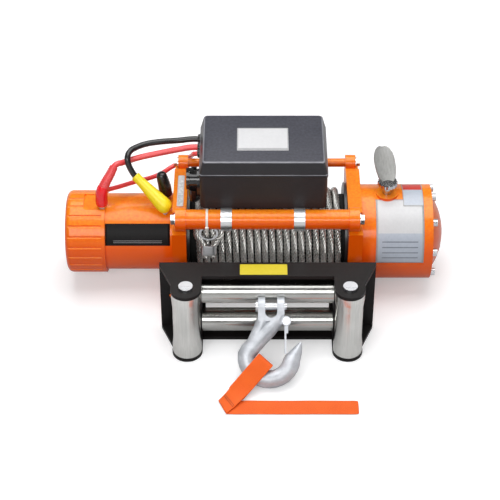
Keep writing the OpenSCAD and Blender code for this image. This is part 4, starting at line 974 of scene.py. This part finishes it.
strap = dict(width=25, thick=2.0, drawn=1.8, lean=45, origin=(4.5, -163.229, 80.448), web=(-7.3, -71.2),
             angle=228.7, pin=12, gap=0.5, start=[(61, 13.6), (55, 9.6), (50, 6), (40.5, -1.5)],
             turns=(23.6, 2.6, 3), arcs=((-30, -91, -15), (250, 109, -20)), waist=12,
             leave=[(34, 14.0), (45, 14.9)], legSteps=8, fall=1.35, land=4.1, sag=0.012,
             fold=[(-64, -260.6), (-53, -285.6)],
             roll=[(-0.6, 4.0), (0.6, 3.8), (1.2, 2.8), (0.7, 1.8), (-0.8, 1.5)],
             end=119, floorSteps=18, rest=1.2, wave=0.35, waves=7.0, cross=8)
weave = dict(pick=0.0016, rib=0.0021, dark=(0.72, 0.075, 0.006), light=(0.96, 0.17, 0.018), grain=0.45)
stitch = dict(between=(4, 6), rows=(0.25, 0.5), count=8, first=0.06, spacing=0.112, length=0.08,
              lift=(0, -0.3, 0.95), height=1.25, crown=1.25, radius=0.00035)


def webbingMaterial():
    mat, tree, shader, place = material("orangeWebbing", 0.7, sheen=0.08, specular=0.15)
    flat = partsOf(tree, node(tree, "ShaderNodeUVMap", uv_map="weave").outputs[0])
    # rows of picks across the webbing, and its long ribs
    waves = [maths(tree, "SINE", product(tree, part, 2 * math.pi / weave[size]))
             for part, size in zip(flat, ("pick", "rib"))]
    height = remap(tree, product(tree, *waves), -1.0, 1.0)
    grain = useGroup(tree, grainGroup, place, fine=2500.0, cloud=40.0, share=0.5)
    mixed = mixValues(tree, weave["grain"], height, grain["Tone"])
    feed(tree, shader["Base Color"], ramp(tree, mixed, weave["dark"], weave["light"]))
    bump(tree, shader, height, strength=0.5, distance=0.00035)
    return mat


def ribbonPiece(name, sections, mat, body, thick):
    # a strip through pairs of edge points, with its flat length and width as its UV map
    bm = bmesh.new()
    uvLayer = bm.loops.layers.uv.new("weave")
    cross = strap["cross"]
    rows, lengths = [], [0.0]
    for i, (a, b) in enumerate(sections):
        if i:
            lengths.append(lengths[-1] + ((a + b) / 2 - (sections[i - 1][0] + sections[i - 1][1]) / 2).length)
        rows.append([bm.verts.new(a.lerp(b, k / cross)) for k in range(cross + 1)])
    for i in range(len(rows) - 1):
        for k in range(cross):
            corners = ((i, k), (i, k + 1), (i + 1, k + 1), (i + 1, k))
            face = bm.faces.new([rows[u][v] for u, v in corners])
            for loop, (u, v) in zip(face.loops, corners):
                loop[uvLayer].uv = (lengths[u], v / cross * strap["width"] / 1000)
    piece = smoothPiece(name, meshOf(name, bm), mat)
    addModifier(piece, "SOLIDIFY", thickness=thick, offset=0)
    addModifier(piece, "SUBSURF", levels=2, render_levels=2)
    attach(piece, body)
    return piece, lengths[-1]


def strapSections():
    # pairs of edge points: the sewn end, round the hook, down to the floor, folded and along it
    place = (moved(*strap["origin"]) @ turned(strap["lean"], "X") @ moved(*strap["web"], 0)
             @ turned(strap["angle"], "Z"))
    half = strap["width"] / 2
    out = strap["pin"] + strap["thick"] / 2 + strap["gap"]
    far, near, tight = strap["turns"]
    farArc, nearArc = strap["arcs"]
    wrap = strap["start"] + [(far + out * c, out * s) for c, s in map(onCircle, range(*farArc))]
    wrap += [(strap["waist"], -out)]
    wrap += [(near + tight * c, out * s) for c, s in map(onCircle, range(*nearArc))]
    wrap += [(strap["waist"], out), (far, out)] + strap["leave"]
    sections = [(place @ mm(s, half, t), place @ mm(s, -half, t)) for s, t in wrap]
    legs = sections[-1]
    rear, front = (mm(*spot, 0) for spot in strap["fold"])
    for k in range(1, strap["legSteps"]):
        u = k / strap["legSteps"]
        high = (1 - u) ** strap["fall"]
        pair = []
        for start, end in zip(legs, (front, rear)):
            spot = start.lerp(end, u)
            spot.z = start.z * (high - strap["sag"] * math.sin(math.pi * u)) + strap["land"] / 1000 * (1 - high)
            pair.append(spot)
        sections.append(tuple(pair))
    # the fold's roll, then the run along the floor
    outward = Vector((front.y - rear.y, rear.x - front.x, 0)).normalized()
    for shift, z in strap["roll"]:
        move = outward * shift / 1000 + mm(0, 0, z)
        sections.append((front + move, rear + move))
    for k in range(1, strap["floorSteps"] + 1):
        u = k / strap["floorSteps"]
        z = (strap["wave"] * math.sin(u * strap["waves"]) ** 2 + strap["rest"]) / 1000
        sections.append(tuple(Vector((spot.x + (strap["end"] / 1000 - spot.x) * u, spot.y, z))
                              for spot in (front, rear)))
    return sections, len(wrap)


def makeStrap():
    sections, leg = strapSections()
    wrapPiece, length = ribbonPiece("pullStrap", sections, "webbing", "hook", strap["drawn"] / 1000)
    # cross stitching where the leg is sewn, just above the fold
    stitches = []
    lift = Vector(stitch["lift"]).normalized() * stitch["height"] / 1000
    above, below = (sections[leg + i] for i in stitch["between"])
    for share in stitch["rows"]:
        a, b = (high.lerp(low, share) for high, low in zip(above, below))
        for k in range(stitch["count"]):
            start = stitch["first"] + k * stitch["spacing"]
            end = start + stitch["length"]
            stitches.append([a.lerp(b, start) + lift, a.lerp(b, (start + end) / 2) + lift * stitch["crown"],
                             a.lerp(b, end) + lift])
    thread = curvePiece("strapThread", stitches, stitch["radius"], 1, "threadDark", body="hook")
    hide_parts("hook_strap")
    print("strap length", round(length, 4))


finish["webbing"] = webbingMaterial()
makeStrap()
print("strap made")
